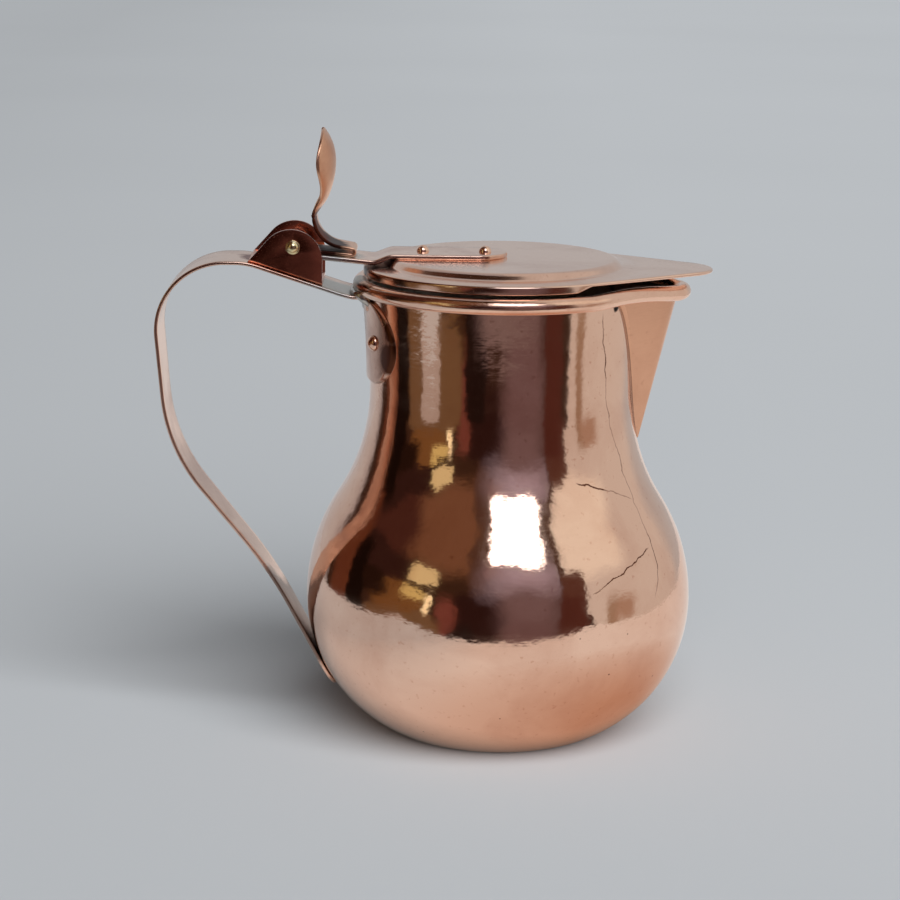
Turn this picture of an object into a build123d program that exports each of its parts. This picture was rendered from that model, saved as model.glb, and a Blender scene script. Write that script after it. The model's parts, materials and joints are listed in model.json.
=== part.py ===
from build123d import *
from math import acos, asin, atan2, cos, degrees, pi, radians, sin, sqrt
import os

# A hand-made copper jug with a hinged lid, in millimetres.
# The origin is on the jug's axis at the plane it stands on, +Z is up and +X points to the lip.
# The handle and the hinge are on the -X side, and both sides of the XZ plane are alike.
# Distances called reach are measured from the jug's axis. Those called gap, rise, drop, run,
# overhang, inset or set in are measured from the piece that carries them.

# Vessel: base, belly and neck raised from one sheet
wall = 1.0
base_radius = 36.0
belly_radius = 67.3
belly_height = 47.5
shoulder_arc = 65.0
neck_radius = 45.6
neck_height = 121.0
rim_radius = 47.6
rim_height = 157.6

# Rolled rim: a strip closed over a wire
bead_radius = 2.65
bead_sheet = 1.0
bead_stand_out = 1.4
wire_clearance = 0.05

# Pouring lip
lip_run = 14.7
lip_tip_radius = 12.0
lip_apex_drop = 18.5
lip_apex_bite = 0.4
lip_wall_along_x = 1.2

# Strap handle, its corners given on the strap's middle line
strap_thickness = 1.2
handle_top_width = 27.0
handle_foot_width = 18.5
handle_taper_top = 155.0
handle_taper_foot = 70.0
rim_gap = 0.1
handle_rise_gap = 4.9
handle_rise_arc = 20.0
handle_shoulder_gap = 40.0
handle_shoulder_arc = 25.0
handle_top_rise = 8.0
handle_gap = 53.5
handle_top_arc = 24.0
handle_elbow_gap = 47.9
handle_elbow_rise = 52.65
handle_elbow_arc = 60.0
handle_knee_gap = 12.5
handle_knee_rise = 9.1
handle_knee_arc = 150.0
handle_foot_height = 15.0
handle_foot_corner = 5.0
foot_pad_top = 27.0
tongue_width = 57.4
tongue_depth = 28.6
tongue_gap = 1.35

# Hinge: a folded bracket on the handle and a riveted pin
pin_gap = 24.2
pin_rise = 13.6
pin_radius = 1.95
pin_head_radius = 2.45
pin_head_dome = 1.3
bracket_sheet = 1.3
bracket_width = 25.0
bracket_fold = 1.2
cheek_arc = 10.6
cheek_arc_back = 0.6
cheek_arc_drop = 4.6
cheek_slope = 48.0
pin_clearance = 0.06
knuckle_clearance = 0.4

# Lid: one sheet with a raised middle, a turned-down edge and a beak
lid_sheet = 1.2
lid_overhang = 0.5
lid_gap = 1.85
lid_lip_depth = 2.1
lid_edge_bend = 0.7
flange_rise = 0.8
plateau_inset = 9.2
plateau_rise = 2.2
plateau_step = 2.2
plateau_bend = 2.4
beak_overhang = 10.0
beak_tip_radius = 14.0

# Lid strap: riveted on the lid, rolled round the pin
lid_strap_thickness = 1.6
lid_strap_tip_x = 1.0
lid_strap_crank_inset = 0.1
lid_strap_crank_run = 5.4
lid_strap_crank_drop = 2.2
lid_strap_crank_bend = 6.0
knuckle_wrap = 285.0

# Thumbpiece: a folded foot on the lid strap, a stem and a rounded leaf
leaf_sheet = 1.2
foot_end_set_in = 5.8
foot_nose_gap = 3.4
foot_nose_arc = 1.0
stem_set_in = 6.8
heel_rise = 1.1
heel_arc = 10.5
stem_rise = 8.8
stem_lean_rise = 7.0
stem_curl_rise = 5.0
leaf_bulge_set_in = 13.55
leaf_bulge_rise = 28.3
leaf_lower_arc = 30.0
leaf_upper_arc = 17.0
leaf_cross_arc = 17.0
leaf_half_width = 12.4
leaf_half_height = 11.6
leaf_waist_half_width = 7.5
leaf_waist_rise = 4.5
leaf_least_curl = 0.03
leaf_top_share = 0.985
leaf_sections = 14

# Rivets: domed heads outside, flat tails inside
rivet_tail = 0.6
lid_rivet_reaches = (27.7, 6.3)
lid_rivet_radius = 1.3
lid_rivet_head_radius = 2.2
lid_rivet_dome = 2.1
tongue_rivet_angle = 21.3
tongue_rivet_rise = 0.1
tongue_rivet_radius = 1.6
tongue_rivet_head_radius = 2.8
tongue_rivet_dome = 2.0
foot_rivet_height = 21.0
foot_rivet_radius = 1.3
foot_rivet_head_radius = 2.3
foot_rivet_dome = 1.2

beyond = 300.0


def upright_arc(drop, rise):
    """Radius of an arc that starts upright and moves sideways by drop over a height of rise."""
    return (drop**2 + rise**2) / (2 * drop)


# Sizes that follow from the ones above
lower_arc = upright_arc(belly_radius - base_radius, belly_height)
neck_span = upright_arc(belly_radius - neck_radius, neck_height - belly_height)
neck_arc = neck_span - shoulder_arc
shoulder_turn = degrees(asin((neck_height - belly_height) / neck_span))
flare_arc = upright_arc(rim_radius - neck_radius, rim_height - neck_height)
lip_tip_centre = rim_radius + lip_run - lip_tip_radius
lip_apex_height = neck_height - lip_apex_drop
strap_start_height = rim_height - bead_radius - rim_gap - strap_thickness / 2
handle_top_height = rim_height + handle_top_rise
handle_knee_height = belly_height + handle_knee_rise
tongue_height = rim_height - bead_radius - tongue_gap - tongue_depth / 2
tongue_rivet_height = tongue_height + tongue_rivet_rise
pin_reach = rim_radius + pin_gap
pin_height = rim_height + pin_rise
lid_radius = rim_radius + lid_overhang
plateau_radius = lid_radius - plateau_inset
lid_edge_bottom = rim_height + bead_radius + lid_gap
lid_edge_top = lid_edge_bottom + lid_lip_depth
plateau_top = lid_edge_top + flange_rise + plateau_rise
beak_tip_centre = rim_radius + lip_run + beak_overhang - beak_tip_radius
lid_strap_crank_reach = plateau_radius - lid_strap_crank_inset
knuckle_arc = pin_radius + pin_clearance + lid_strap_thickness / 2
lid_strap_width = bracket_width - 2 * bracket_sheet - 2 * knuckle_clearance
pin_centre = Vector(-pin_reach, pin_height)
stem_reach = pin_reach - stem_set_in
stem_top_height = pin_height + stem_rise
stem_lean_height = stem_top_height + stem_lean_rise
leaf_bulge_reach = pin_reach - leaf_bulge_set_in
leaf_bulge_height = pin_height + leaf_bulge_rise
leaf_waist_height = stem_top_height + leaf_waist_rise


def vessel_radius(height):
    """Outer radius of the vessel at a height."""
    if height < belly_height:
        return belly_radius - lower_arc + sqrt(lower_arc**2 - (belly_height - height) ** 2)
    if height < neck_height:
        return neck_radius + neck_arc - sqrt(neck_arc**2 - (neck_height - height) ** 2)
    return neck_radius + flare_arc - sqrt(flare_arc**2 - (height - neck_height) ** 2)


def vessel(outset, bottom):
    """Solid inside the vessel's outline moved outwards by outset, from bottom to the rim."""
    foot_angle = degrees(asin((bottom - belly_height) / (lower_arc + outset)))
    rim_angle = degrees(asin((rim_height - neck_height) / (flare_arc - outset)))
    lower = CenterArc((belly_radius - lower_arc, belly_height), lower_arc + outset, foot_angle, -foot_angle)
    shoulder = CenterArc((belly_radius - shoulder_arc, belly_height), shoulder_arc + outset, 0, shoulder_turn)
    neck = CenterArc(
        (neck_radius + neck_arc, neck_height), neck_arc - outset, 180 + shoulder_turn, -shoulder_turn
    )
    flare = CenterArc((neck_radius + flare_arc, neck_height), flare_arc - outset, 180, -rim_angle)
    inside = Polyline(flare @ 1, (0, rim_height), (0, bottom), lower @ 0)
    return revolve(Plane.XZ * make_face([lower, shoulder, neck, flare, *inside.edges()]), Axis.Z)


def teardrop(radius, tip_radius, tip_centre):
    """Closed outline drawn tight round a circle on the axis and a smaller circle in front of it."""
    touch = degrees(acos((radius - tip_radius) / tip_centre))
    back = CenterArc((0, 0), radius, touch, 360 - 2 * touch)
    tip = CenterArc((tip_centre, 0), tip_radius, -touch, 2 * touch)
    return Wire([back, Line(back @ 1, tip @ 0), tip, Line(tip @ 1, back @ 0)])


def rim_tube(outer, inner=0.0):
    """A round tube that follows the rim and the lip."""
    path = teardrop(rim_radius + bead_stand_out, lip_tip_radius, lip_tip_centre)
    path = Pos(0, 0, rim_height) * path
    section = Circle(outer)
    if inner > 0:
        section -= Circle(inner)
    return sweep(Plane(origin=path @ 0, z_dir=path % 0) * section, path=path)


def lip_cone(set_back):
    """Solid cone from the lip's plan at the rim down to its point on the neck."""
    plan = make_face(teardrop(rim_radius, lip_tip_radius - bead_stand_out, lip_tip_centre).edges())
    apex = Vertex(vessel_radius(lip_apex_height) - lip_apex_bite, 0, lip_apex_height)
    cone = loft([Pos(0, 0, rim_height) * plan, apex])
    front = Pos(beyond / 2, 0, rim_height) * Box(beyond, beyond, beyond)
    return Pos(-set_back, 0, 0) * cone & front


def dome(radius, height):
    """A cap of a ball standing on the XY plane."""
    ball = (radius**2 + height**2) / (2 * height)
    return Pos(0, 0, height - ball) * Sphere(ball) & Pos(0, 0, height) * Box(4 * radius, 4 * radius, 2 * height)


def rod(radius, low, high):
    """A cylinder on the Z axis between two heights."""
    return Pos(0, 0, (low + high) / 2) * Cylinder(radius, high - low)


def tongue_rivet_planes():
    """Planes on the neck's outer face at the two tongue rivets, Z pointing outwards."""
    reach = vessel_radius(tongue_rivet_height)
    planes = []
    for side in (-1, 1):
        turn = radians(180 + side * tongue_rivet_angle)
        outwards = Vector(cos(turn), sin(turn), 0)
        planes.append(Plane(outwards * reach + Vector(0, 0, tongue_rivet_height), z_dir=outwards))
    return planes


def foot_rivet_plane():
    """Plane on the belly's outer face at the foot rivet, Z pointing outwards."""
    slope = asin((belly_height - foot_rivet_height) / lower_arc)
    origin = Vector(-vessel_radius(foot_rivet_height), 0, foot_rivet_height)
    return Plane(origin, z_dir=(-cos(slope), 0, -sin(slope)))


def shell_rivet(plane, radius, head_radius, head_dome):
    """A rivet through the strap and the vessel's wall, its head and tail fitted to the curve."""
    head = plane * Pos(0, 0, strap_thickness) * (dome(head_radius, head_dome) + rod(head_radius, -wall, 0))
    tail = plane * rod(head_radius, -wall - rivet_tail, 0)
    shank = plane * rod(radius, -wall - rivet_tail / 2, strap_thickness + head_dome / 2)
    return (head - vessel(strap_thickness, 0)) + (tail & vessel(-wall, wall)) + shank


def shank_hole(plane, radius):
    overrun = 3.0
    return plane * rod(radius, -wall - overrun, strap_thickness + overrun)


def make_jug_body():
    body = vessel(0, 0) - vessel(-wall, wall)
    body -= lip_cone(lip_wall_along_x)
    body -= rim_tube(bead_radius)
    for plane in tongue_rivet_planes():
        body -= shank_hole(plane, tongue_rivet_radius)
    return body - shank_hole(foot_rivet_plane(), foot_rivet_radius)


def make_spout():
    return lip_cone(0) - lip_cone(lip_wall_along_x) - vessel(0, 0) - rim_tube(bead_radius)


def handle_line():
    """Middle line of the strap in the XZ plane, from inside the neck to where it meets the belly."""
    belly_centre = Vector(lower_arc - belly_radius, belly_height)
    knee = Vector(-belly_radius - handle_knee_gap, handle_knee_height)
    seat_arc = lower_arc + strap_thickness / 2
    towards = belly_centre - knee
    turn = atan2(towards.Y, towards.X) - asin(seat_arc / towards.length)
    touch = knee + Vector(cos(turn), sin(turn)) * sqrt(towards.length**2 - seat_arc**2)
    return FilletPolyline(
        (-neck_radius, strap_start_height),
        (-rim_radius - handle_rise_gap, strap_start_height),
        (-rim_radius - handle_shoulder_gap, handle_top_height),
        (-belly_radius - handle_gap, handle_top_height),
        (-belly_radius - handle_elbow_gap, belly_height + handle_elbow_rise),
        knee,
        touch,
        radius=[handle_rise_arc, handle_shoulder_arc, handle_top_arc, handle_elbow_arc, handle_knee_arc],
    )


def behind(face):
    """A face drawn in the YZ plane, run out to the handle's side."""
    return extrude(Plane.YZ * face, -beyond)


def strap_outline():
    """The strap's width seen from behind, tapering to a rounded foot."""
    top = handle_top_width / 2
    foot = handle_foot_width / 2
    above = handle_top_height + handle_top_arc
    corners = [
        (-top, above),
        (top, above),
        (top, handle_taper_top),
        (foot, handle_taper_foot),
        (foot, handle_foot_height),
        (-foot, handle_foot_height),
        (-foot, handle_taper_foot),
        (-top, handle_taper_top),
    ]
    outline = make_face(Polyline(*corners, close=True))
    return fillet(outline.vertices().sort_by(Axis.Y)[0:2], handle_foot_corner)


def make_handle():
    strip = extrude(Plane.XZ * trace(handle_line(), strap_thickness), handle_top_width, both=True)
    strip &= behind(strap_outline())
    foot_level = Pos(0, 0, foot_pad_top / 2) * Box(beyond, beyond, foot_pad_top)
    tongue = Pos(0, tongue_height) * SlotOverall(tongue_width, tongue_depth)
    tongue_top = strap_start_height + strap_thickness / 2
    tongue += Pos(0, (tongue_height + tongue_top) / 2) * Rectangle(handle_top_width, tongue_top - tongue_height)
    skin = vessel(strap_thickness, 0) - vessel(0, 0)
    strip -= vessel(0, 0)
    strip += skin & behind(strap_outline()) & foot_level
    strip += skin & behind(tongue)
    for plane in tongue_rivet_planes():
        strip -= shank_hole(plane, tongue_rivet_radius)
    return strip - shank_hole(foot_rivet_plane(), foot_rivet_radius)


def under_strap():
    """Everything in the XZ plane below the strap's upper face, inside the handle."""
    line = handle_line()
    loop = make_face([*line.edges(), Line(line @ 1, line @ 0)])
    return loop + trace(line, strap_thickness)


def cheek_outline():
    """Side view of the bracket: upright in front, round on top, sloping down behind."""
    centre = pin_centre - Vector(cheek_arc_back, cheek_arc_drop)
    top = CenterArc(centre, cheek_arc, 0, 90 + cheek_slope)
    back = top @ 1
    drop = back.Y - handle_top_height + strap_thickness
    back_foot = back - Vector(drop * cos(radians(cheek_slope)) / sin(radians(cheek_slope)), drop)
    sides = Polyline(back, back_foot, ((top @ 0).X, strap_start_height), top @ 0)
    return make_face([top, *sides.edges()]) - under_strap()


def make_hinge_bracket():
    bracket = extrude(Plane.XZ * cheek_outline(), bracket_width / 2, both=True)
    folds = []
    cheek_face = bracket_width / 2 - 0.01
    for face in bracket.faces():
        looks_down = face.normal_at().Z < -0.5
        if looks_down:
            folds += [edge for edge in face.edges() if abs(edge.center().Y) > cheek_face]
    bracket = fillet(folds, bracket_fold)
    web = trace(handle_line(), strap_thickness + 2 * bracket_sheet)
    all_of_it = 4 * cheek_arc
    space = Pos(-pin_reach, pin_height) * Rectangle(all_of_it, all_of_it) - web - under_strap()
    bracket -= extrude(Plane.XZ * space, bracket_width / 2 - bracket_sheet, both=True)
    return bracket - pin_line() * rod(pin_radius, -bracket_width, bracket_width)


def pin_line():
    """Plane at the middle of the pin, Z along the pin towards -Y."""
    return Plane((-pin_reach, 0, pin_height), z_dir=(0, -1, 0))


def make_hinge_pin():
    half = bracket_width / 2
    end = half + pin_head_dome / 4
    pin = pin_line() * rod(pin_radius, -end, end)
    head = Pos(0, 0, half) * dome(pin_head_radius, pin_head_dome)
    pin += pin_line() * head
    return pin + mirror(pin_line() * head, Plane.XZ)


def make_tongue_rivets():
    rivets = []
    for plane in tongue_rivet_planes():
        rivets.append(shell_rivet(plane, tongue_rivet_radius, tongue_rivet_head_radius, tongue_rivet_dome))
    return rivets


def make_foot_rivet():
    return shell_rivet(foot_rivet_plane(), foot_rivet_radius, foot_rivet_head_radius, foot_rivet_dome)


def make_lid():
    middle = plateau_top - lid_sheet / 2
    edge = lid_radius - lid_sheet / 2
    section = FilletPolyline(
        (0, middle),
        (plateau_radius, middle),
        (plateau_radius + plateau_step, middle - plateau_rise),
        (edge, middle - plateau_rise - flange_rise),
        (edge, lid_edge_bottom),
        radius=[plateau_bend, plateau_bend, lid_edge_bend],
    )
    lid = revolve(Plane.XZ * trace(section, lid_sheet), Axis.Z)
    touch = acos((lid_radius - beak_tip_radius) / beak_tip_centre)
    corner = Vector(cos(touch), sin(touch)) * 2 * lid_radius
    wedge = make_face(Polyline((0, 0), (corner.X, -corner.Y), (corner.X, corner.Y), close=True))
    lid -= extrude(wedge, lid_edge_top - lid_sheet)
    plan = make_face(teardrop(lid_radius, beak_tip_radius, beak_tip_centre).edges())
    beak_lap = 2 * lid_sheet
    plan -= Circle(lid_radius - beak_lap)
    lid += Pos(0, 0, lid_edge_top - lid_sheet) * extrude(plan, lid_sheet)
    for reach in lid_rivet_reaches:
        lid -= Pos(-reach, 0, 0) * rod(lid_rivet_radius, lid_edge_bottom, lid_edge_bottom + beyond)
    return lid


def lid_strap_slope():
    """Line of the strap behind the crank, from the crank's foot to where it meets the knuckle."""
    foot_reach = lid_strap_crank_reach + lid_strap_crank_run
    foot = Vector(-foot_reach, plateau_top + lid_strap_thickness / 2 - lid_strap_crank_drop)
    towards = pin_centre - foot
    turn = atan2(towards.Y, towards.X) + asin(knuckle_arc / towards.length)
    length = sqrt(towards.length**2 - knuckle_arc**2)
    return Line(foot, foot + Vector(cos(turn), sin(turn)) * length)


def make_lid_strap():
    level = plateau_top + lid_strap_thickness / 2
    slope = lid_strap_slope()
    line = FilletPolyline(
        (lid_strap_tip_x, level),
        (-lid_strap_crank_reach, level),
        slope @ 0,
        slope @ 1,
        radius=[lid_strap_crank_bend, lid_strap_crank_bend],
    )
    start = (slope @ 1) - pin_centre
    knuckle = CenterArc(pin_centre, knuckle_arc, degrees(atan2(start.Y, start.X)), -knuckle_wrap)
    side = trace(line, lid_strap_thickness) + trace(knuckle, lid_strap_thickness)
    strap = extrude(Plane.XZ * side, lid_strap_width / 2, both=True)
    tip_centre = lid_strap_tip_x - lid_strap_width / 2
    plan = Pos(tip_centre - beyond / 2, 0) * Rectangle(beyond, lid_strap_width)
    plan += Pos(tip_centre, 0) * Circle(lid_strap_width / 2)
    strap &= extrude(plan, beyond)
    strap -= make_lid()
    for reach in lid_rivet_reaches:
        strap -= Pos(-reach, 0, 0) * rod(lid_rivet_radius, lid_edge_bottom, lid_edge_bottom + beyond)
    return strap


def make_lid_rivets():
    rivets = []
    for reach in lid_rivet_reaches:
        strap_top = plateau_top + lid_strap_thickness
        lid_under = plateau_top - lid_sheet
        rivet = rod(lid_rivet_radius, lid_under - rivet_tail, strap_top + lid_rivet_dome / 2)
        rivet += rod(lid_rivet_head_radius, lid_under - rivet_tail, lid_under)
        rivet += Pos(0, 0, strap_top) * dome(lid_rivet_head_radius, lid_rivet_dome)
        rivets.append(Pos(-reach, 0, 0) * rivet)
    return rivets


def foot_point(reach):
    """Middle of the thumbpiece's lowest sheet, lying on the lid strap."""
    slope = lid_strap_slope()
    along = slope % 0
    lift = (lid_strap_thickness + leaf_sheet) / 2 / abs(along.X)
    start = slope @ 0
    return Vector(-reach, start.Y + (-reach - start.X) * along.Y / along.X + lift)


def leaf_front(height):
    """X of the leaf's front face on the middle plane: out of the upright stem, then two arcs."""
    if height < stem_lean_height:
        rise = stem_lean_height - stem_top_height
        part = (height - stem_top_height) / rise
        from_bulge = leaf_bulge_height - stem_lean_height
        lean = from_bulge / sqrt(leaf_lower_arc**2 - from_bulge**2)
        start = -stem_reach + leaf_sheet / 2
        blend = part**2 * (3 - 2 * part)
        return start + (leaf_front(stem_lean_height) - start) * blend + lean * rise * part**2 * (part - 1)
    arc = leaf_lower_arc if height < leaf_bulge_height else leaf_upper_arc
    return -leaf_bulge_reach + leaf_sheet / 2 - arc + sqrt(arc**2 - (height - leaf_bulge_height) ** 2)


def leaf_half(height):
    """Half of the leaf's width: a waist that swells into a rounded top."""
    if height > leaf_bulge_height:
        part = (height - leaf_bulge_height) / leaf_half_height
        return leaf_half_width * sqrt(1 - part**2)
    part = (leaf_bulge_height - height) / (leaf_bulge_height - leaf_waist_height)
    swell = (1 + cos(pi * min(part, 1))) / 2
    return leaf_waist_half_width + (leaf_half_width - leaf_waist_half_width) * swell


def leaf_section(height):
    """Level section of the leaf, its sides bent back from the front."""
    half = leaf_half(height)
    part = min((height - stem_top_height) / stem_curl_rise, 1)
    curl = leaf_least_curl + (1 - leaf_least_curl) * part
    sag = (leaf_cross_arc - sqrt(leaf_cross_arc**2 - half**2)) * curl
    front = leaf_front(height)
    back = front - leaf_sheet
    outer = ThreePointArc((front - sag, -half), (front, 0), (front - sag, half))
    inner = ThreePointArc((back - sag, -half), (back, 0), (back - sag, half))
    ends = [Line(outer @ 0, inner @ 0), Line(outer @ 1, inner @ 1)]
    return Pos(0, 0, height) * make_face([outer, inner, *ends])


def make_thumbpiece():
    nose = foot_point(rim_radius + foot_nose_gap)
    nose_bend = 0.97 * foot_nose_arc
    stem_lap = heel_arc / 8
    line = FilletPolyline(
        foot_point(pin_reach - foot_end_set_in),
        nose,
        nose + Vector(0, 2 * foot_nose_arc),
        (-stem_reach, pin_height + heel_rise),
        (-stem_reach, stem_top_height + stem_lap),
        radius=[nose_bend, nose_bend, heel_arc],
    )
    foot = extrude(Plane.XZ * trace(line, leaf_sheet), leaf_waist_half_width, both=True)
    top_height = leaf_bulge_height + leaf_half_height * leaf_top_share
    step = (top_height - stem_top_height) / (leaf_sections - 1)
    leaf = loft([leaf_section(stem_top_height + step * number) for number in range(leaf_sections)])
    return foot + leaf


makers = {
    "jug_body": make_jug_body,
    "spout": make_spout,
    "rim_bead": lambda: rim_tube(bead_radius, bead_radius - bead_sheet),
    "rim_wire": lambda: rim_tube(bead_radius - bead_sheet - wire_clearance),
    "handle": make_handle,
    "hinge_bracket": make_hinge_bracket,
    "hinge_pin": make_hinge_pin,
    "tongue_rivets": make_tongue_rivets,
    "foot_rivet": make_foot_rivet,
    "lid": make_lid,
    "lid_strap": make_lid_strap,
    "thumbpiece": make_thumbpiece,
    "lid_rivets": make_lid_rivets,
}

os.makedirs("parts", exist_ok=True)
for name, make in makers.items():
    made = make()
    solids = [solid for item in (made if isinstance(made, list) else [made]) for solid in item.solids()]
    export_step(solids[0] if len(solids) == 1 else Compound(solids), f"parts/{name}.step")
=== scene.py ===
import json
from math import acos, asin, atan2, cos, pi, radians, sin, sqrt

import bmesh
import bpy
import numpy as np
from mathutils import Matrix, Vector

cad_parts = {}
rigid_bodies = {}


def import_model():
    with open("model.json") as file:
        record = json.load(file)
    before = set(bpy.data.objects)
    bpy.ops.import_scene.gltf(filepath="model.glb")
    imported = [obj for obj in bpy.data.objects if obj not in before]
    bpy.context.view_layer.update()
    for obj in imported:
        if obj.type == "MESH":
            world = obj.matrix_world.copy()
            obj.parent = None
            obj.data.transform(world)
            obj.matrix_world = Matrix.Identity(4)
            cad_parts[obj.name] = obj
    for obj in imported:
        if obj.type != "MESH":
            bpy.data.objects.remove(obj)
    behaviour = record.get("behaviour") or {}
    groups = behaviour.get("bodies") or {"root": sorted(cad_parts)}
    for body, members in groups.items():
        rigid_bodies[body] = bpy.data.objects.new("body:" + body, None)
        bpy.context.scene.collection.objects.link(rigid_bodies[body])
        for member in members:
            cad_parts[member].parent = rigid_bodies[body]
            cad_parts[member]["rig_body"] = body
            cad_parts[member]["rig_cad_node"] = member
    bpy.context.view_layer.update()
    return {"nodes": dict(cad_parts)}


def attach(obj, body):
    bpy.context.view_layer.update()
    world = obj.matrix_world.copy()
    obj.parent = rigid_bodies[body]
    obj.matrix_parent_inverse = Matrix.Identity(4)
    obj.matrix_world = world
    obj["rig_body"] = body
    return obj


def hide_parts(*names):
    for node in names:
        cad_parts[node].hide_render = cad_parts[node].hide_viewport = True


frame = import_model()

# Vessel
# The belly and neck are one sheet of copper raised over stakes and planished, so the wall is
# thin, its reflections wave slightly, and fine polishing lines run round it. A V is cut out of
# the neck for the lip, and the inside is tinned.
MM = 0.001
WALL = 1.0
BASE_RADIUS = 36.0
BELLY_RADIUS = 67.3
BELLY_HEIGHT = 47.5
SHOULDER_ARC = 65.0
NECK_RADIUS = 45.6
NECK_HEIGHT = 121.0
RIM_RADIUS = 47.6
RIM_HEIGHT = 157.6
SHEET_TOP = 156.65
FOOT_ROUNDING = 1.0
FOOT_RISE = 0.45
LIP_POINT_HEIGHT = 102.5
LIP_POINT_BITE = 0.4
BEAD_STAND_OUT = 1.4
LIP_TIP_REACH = 62.3
LIP_TIP_RADIUS = 12.0


def upright_arc(drop, rise):
    """Radius of an arc that starts upright and moves sideways by drop over a height of rise."""
    return (drop**2 + rise**2) / (2 * drop)


LOWER_ARC = upright_arc(BELLY_RADIUS - BASE_RADIUS, BELLY_HEIGHT)
NECK_SPAN = upright_arc(BELLY_RADIUS - NECK_RADIUS, NECK_HEIGHT - BELLY_HEIGHT)
NECK_ARC = NECK_SPAN - SHOULDER_ARC
SHOULDER_TOP = BELLY_HEIGHT + SHOULDER_ARC * (NECK_HEIGHT - BELLY_HEIGHT) / NECK_SPAN
FLARE_ARC = upright_arc(RIM_RADIUS - NECK_RADIUS, RIM_HEIGHT - NECK_HEIGHT)
LIP_TIP_CENTRE = LIP_TIP_REACH - LIP_TIP_RADIUS
FLANK_TURN = acos((RIM_RADIUS + BEAD_STAND_OUT - LIP_TIP_RADIUS) / LIP_TIP_CENTRE)


def vessel_radius(height):
    """Outer radius of the vessel at a height."""
    if height < BELLY_HEIGHT:
        return BELLY_RADIUS - LOWER_ARC + sqrt(LOWER_ARC**2 - (BELLY_HEIGHT - height) ** 2)
    if height < SHOULDER_TOP:
        return BELLY_RADIUS - SHOULDER_ARC + sqrt(SHOULDER_ARC**2 - (height - BELLY_HEIGHT) ** 2)
    if height < NECK_HEIGHT:
        return NECK_RADIUS + NECK_ARC - sqrt(NECK_ARC**2 - (NECK_HEIGHT - height) ** 2)
    return NECK_RADIUS + FLARE_ARC - sqrt(FLARE_ARC**2 - (height - NECK_HEIGHT) ** 2)


LIP_POINT_REACH = vessel_radius(LIP_POINT_HEIGHT) - LIP_POINT_BITE


def adder(tree):
    """The function that adds nodes to this tree."""

    def add(kind, *inputs, **settings):
        """Adds a node with its settings; a maths node's operation follows its kind. Its inputs
        come in their order and, in a dict, by name, as values or as nodes or sockets to link."""
        kind, *operation = kind.split()
        made = tree.nodes.new(kind if "Node" in kind else "ShaderNode" + kind)
        for name in operation:
            made.operation = name
        for name, value in settings.items():
            setattr(made, name, value)
        sockets = {}
        for place, given in enumerate(inputs):
            sockets.update(given if isinstance(given, dict) else {place: given})
        for name, value in sockets.items():
            if isinstance(value, bpy.types.Node):
                value = value.outputs[0]
            if isinstance(value, bpy.types.NodeSocket):
                tree.links.new(value, made.inputs[name])
            else:
                made.inputs[name].default_value = value
        return made

    return add


def linear(colour):
    """An sRGB hex colour as the linear values that a shader's socket takes."""
    parts = [int(colour[at : at + 2], 16) / 255 for at in (1, 3, 5)]
    return [*(c / 12.92 if c <= 0.04045 else ((c + 0.055) / 1.055) ** 2.4 for c in parts), 1.0]


def new_object(name, data):
    """An object with this data, linked to the scene."""
    made = bpy.data.objects.new(name, data)
    bpy.context.scene.collection.objects.link(made)
    return made


def plain_mesh(name, points, faces, *materials):
    """An object with a mesh of these points, in millimetres, at its real place."""
    mesh = bpy.data.meshes.new(name)
    mesh.from_pydata([tuple(MM * c for c in point) for point in points], [], faces)
    mesh.validate()
    mesh.update()
    for material in materials:
        mesh.materials.append(material)
    return new_object(name, mesh)


def drawn_line(name, points, closed):
    """A curve object, straight from point to point, in millimetres."""
    curve = bpy.data.curves.new(name, "CURVE")
    curve.dimensions = "3D"
    line = curve.splines.new("POLY")
    line.points.add(len(points) - 1)
    for point, place in zip(line.points, points):
        point.co = (*(MM * c for c in place), 1)
    line.use_cyclic_u = closed
    return new_object(name, curve)


def smooth(piece):
    piece.data.polygons.foreach_set("use_smooth", [True] * len(piece.data.polygons))
    piece.data.update()


def baked(piece):
    """The piece as a plain mesh, with its modifiers applied and removed."""
    depsgraph = bpy.context.evaluated_depsgraph_get()
    depsgraph.update()
    mesh = bpy.data.meshes.new_from_object(piece.evaluated_get(depsgraph))
    mesh.name = piece.name
    if piece.type == "MESH":
        piece.modifiers.clear()
        piece.data = mesh
        return piece
    name = piece.name
    bpy.data.objects.remove(piece)
    return new_object(name, mesh)


def modified(piece, kind, **settings):
    """The piece as a plain mesh, with a modifier of this kind and these settings applied."""
    modifier = piece.modifiers.new(kind, kind)
    for name, value in settings.items():
        setattr(modifier, name, value)
    return baked(piece)


def grow(piece, tree, **inputs):
    """Runs a Geometry Nodes tree on the piece with its named inputs, and keeps the plain mesh."""
    modifier = piece.modifiers.new(tree.name, "NODES")
    modifier.node_group = tree
    for name, value in inputs.items():
        modifier[tree.interface.items_tree[name.replace("_", " ")].identifier] = value
    return baked(piece)


def fit(piece, body, slot, *nodes):
    """Smooths the piece, hangs it on the body that carries it and hides the nodes it stands for. The slot
    is not used.
    """
    smooth(piece)
    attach(piece, body)
    if nodes:
        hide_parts(*nodes)


def new_tree(name, sockets):
    """A Geometry Nodes tree, the function that adds its nodes, and its named inputs."""
    tree = bpy.data.node_groups.new(name, "GeometryNodeTree")
    tree.interface.new_socket("Geometry", in_out="OUTPUT", socket_type="NodeSocketGeometry")
    tree.interface.new_socket("Geometry", in_out="INPUT", socket_type="NodeSocketGeometry")
    for label, kind in sockets.items():
        tree.interface.new_socket(label, in_out="INPUT", socket_type=f"NodeSocket{kind}")
    add = adder(tree)
    return tree, add, add("NodeGroupInput").outputs


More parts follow.
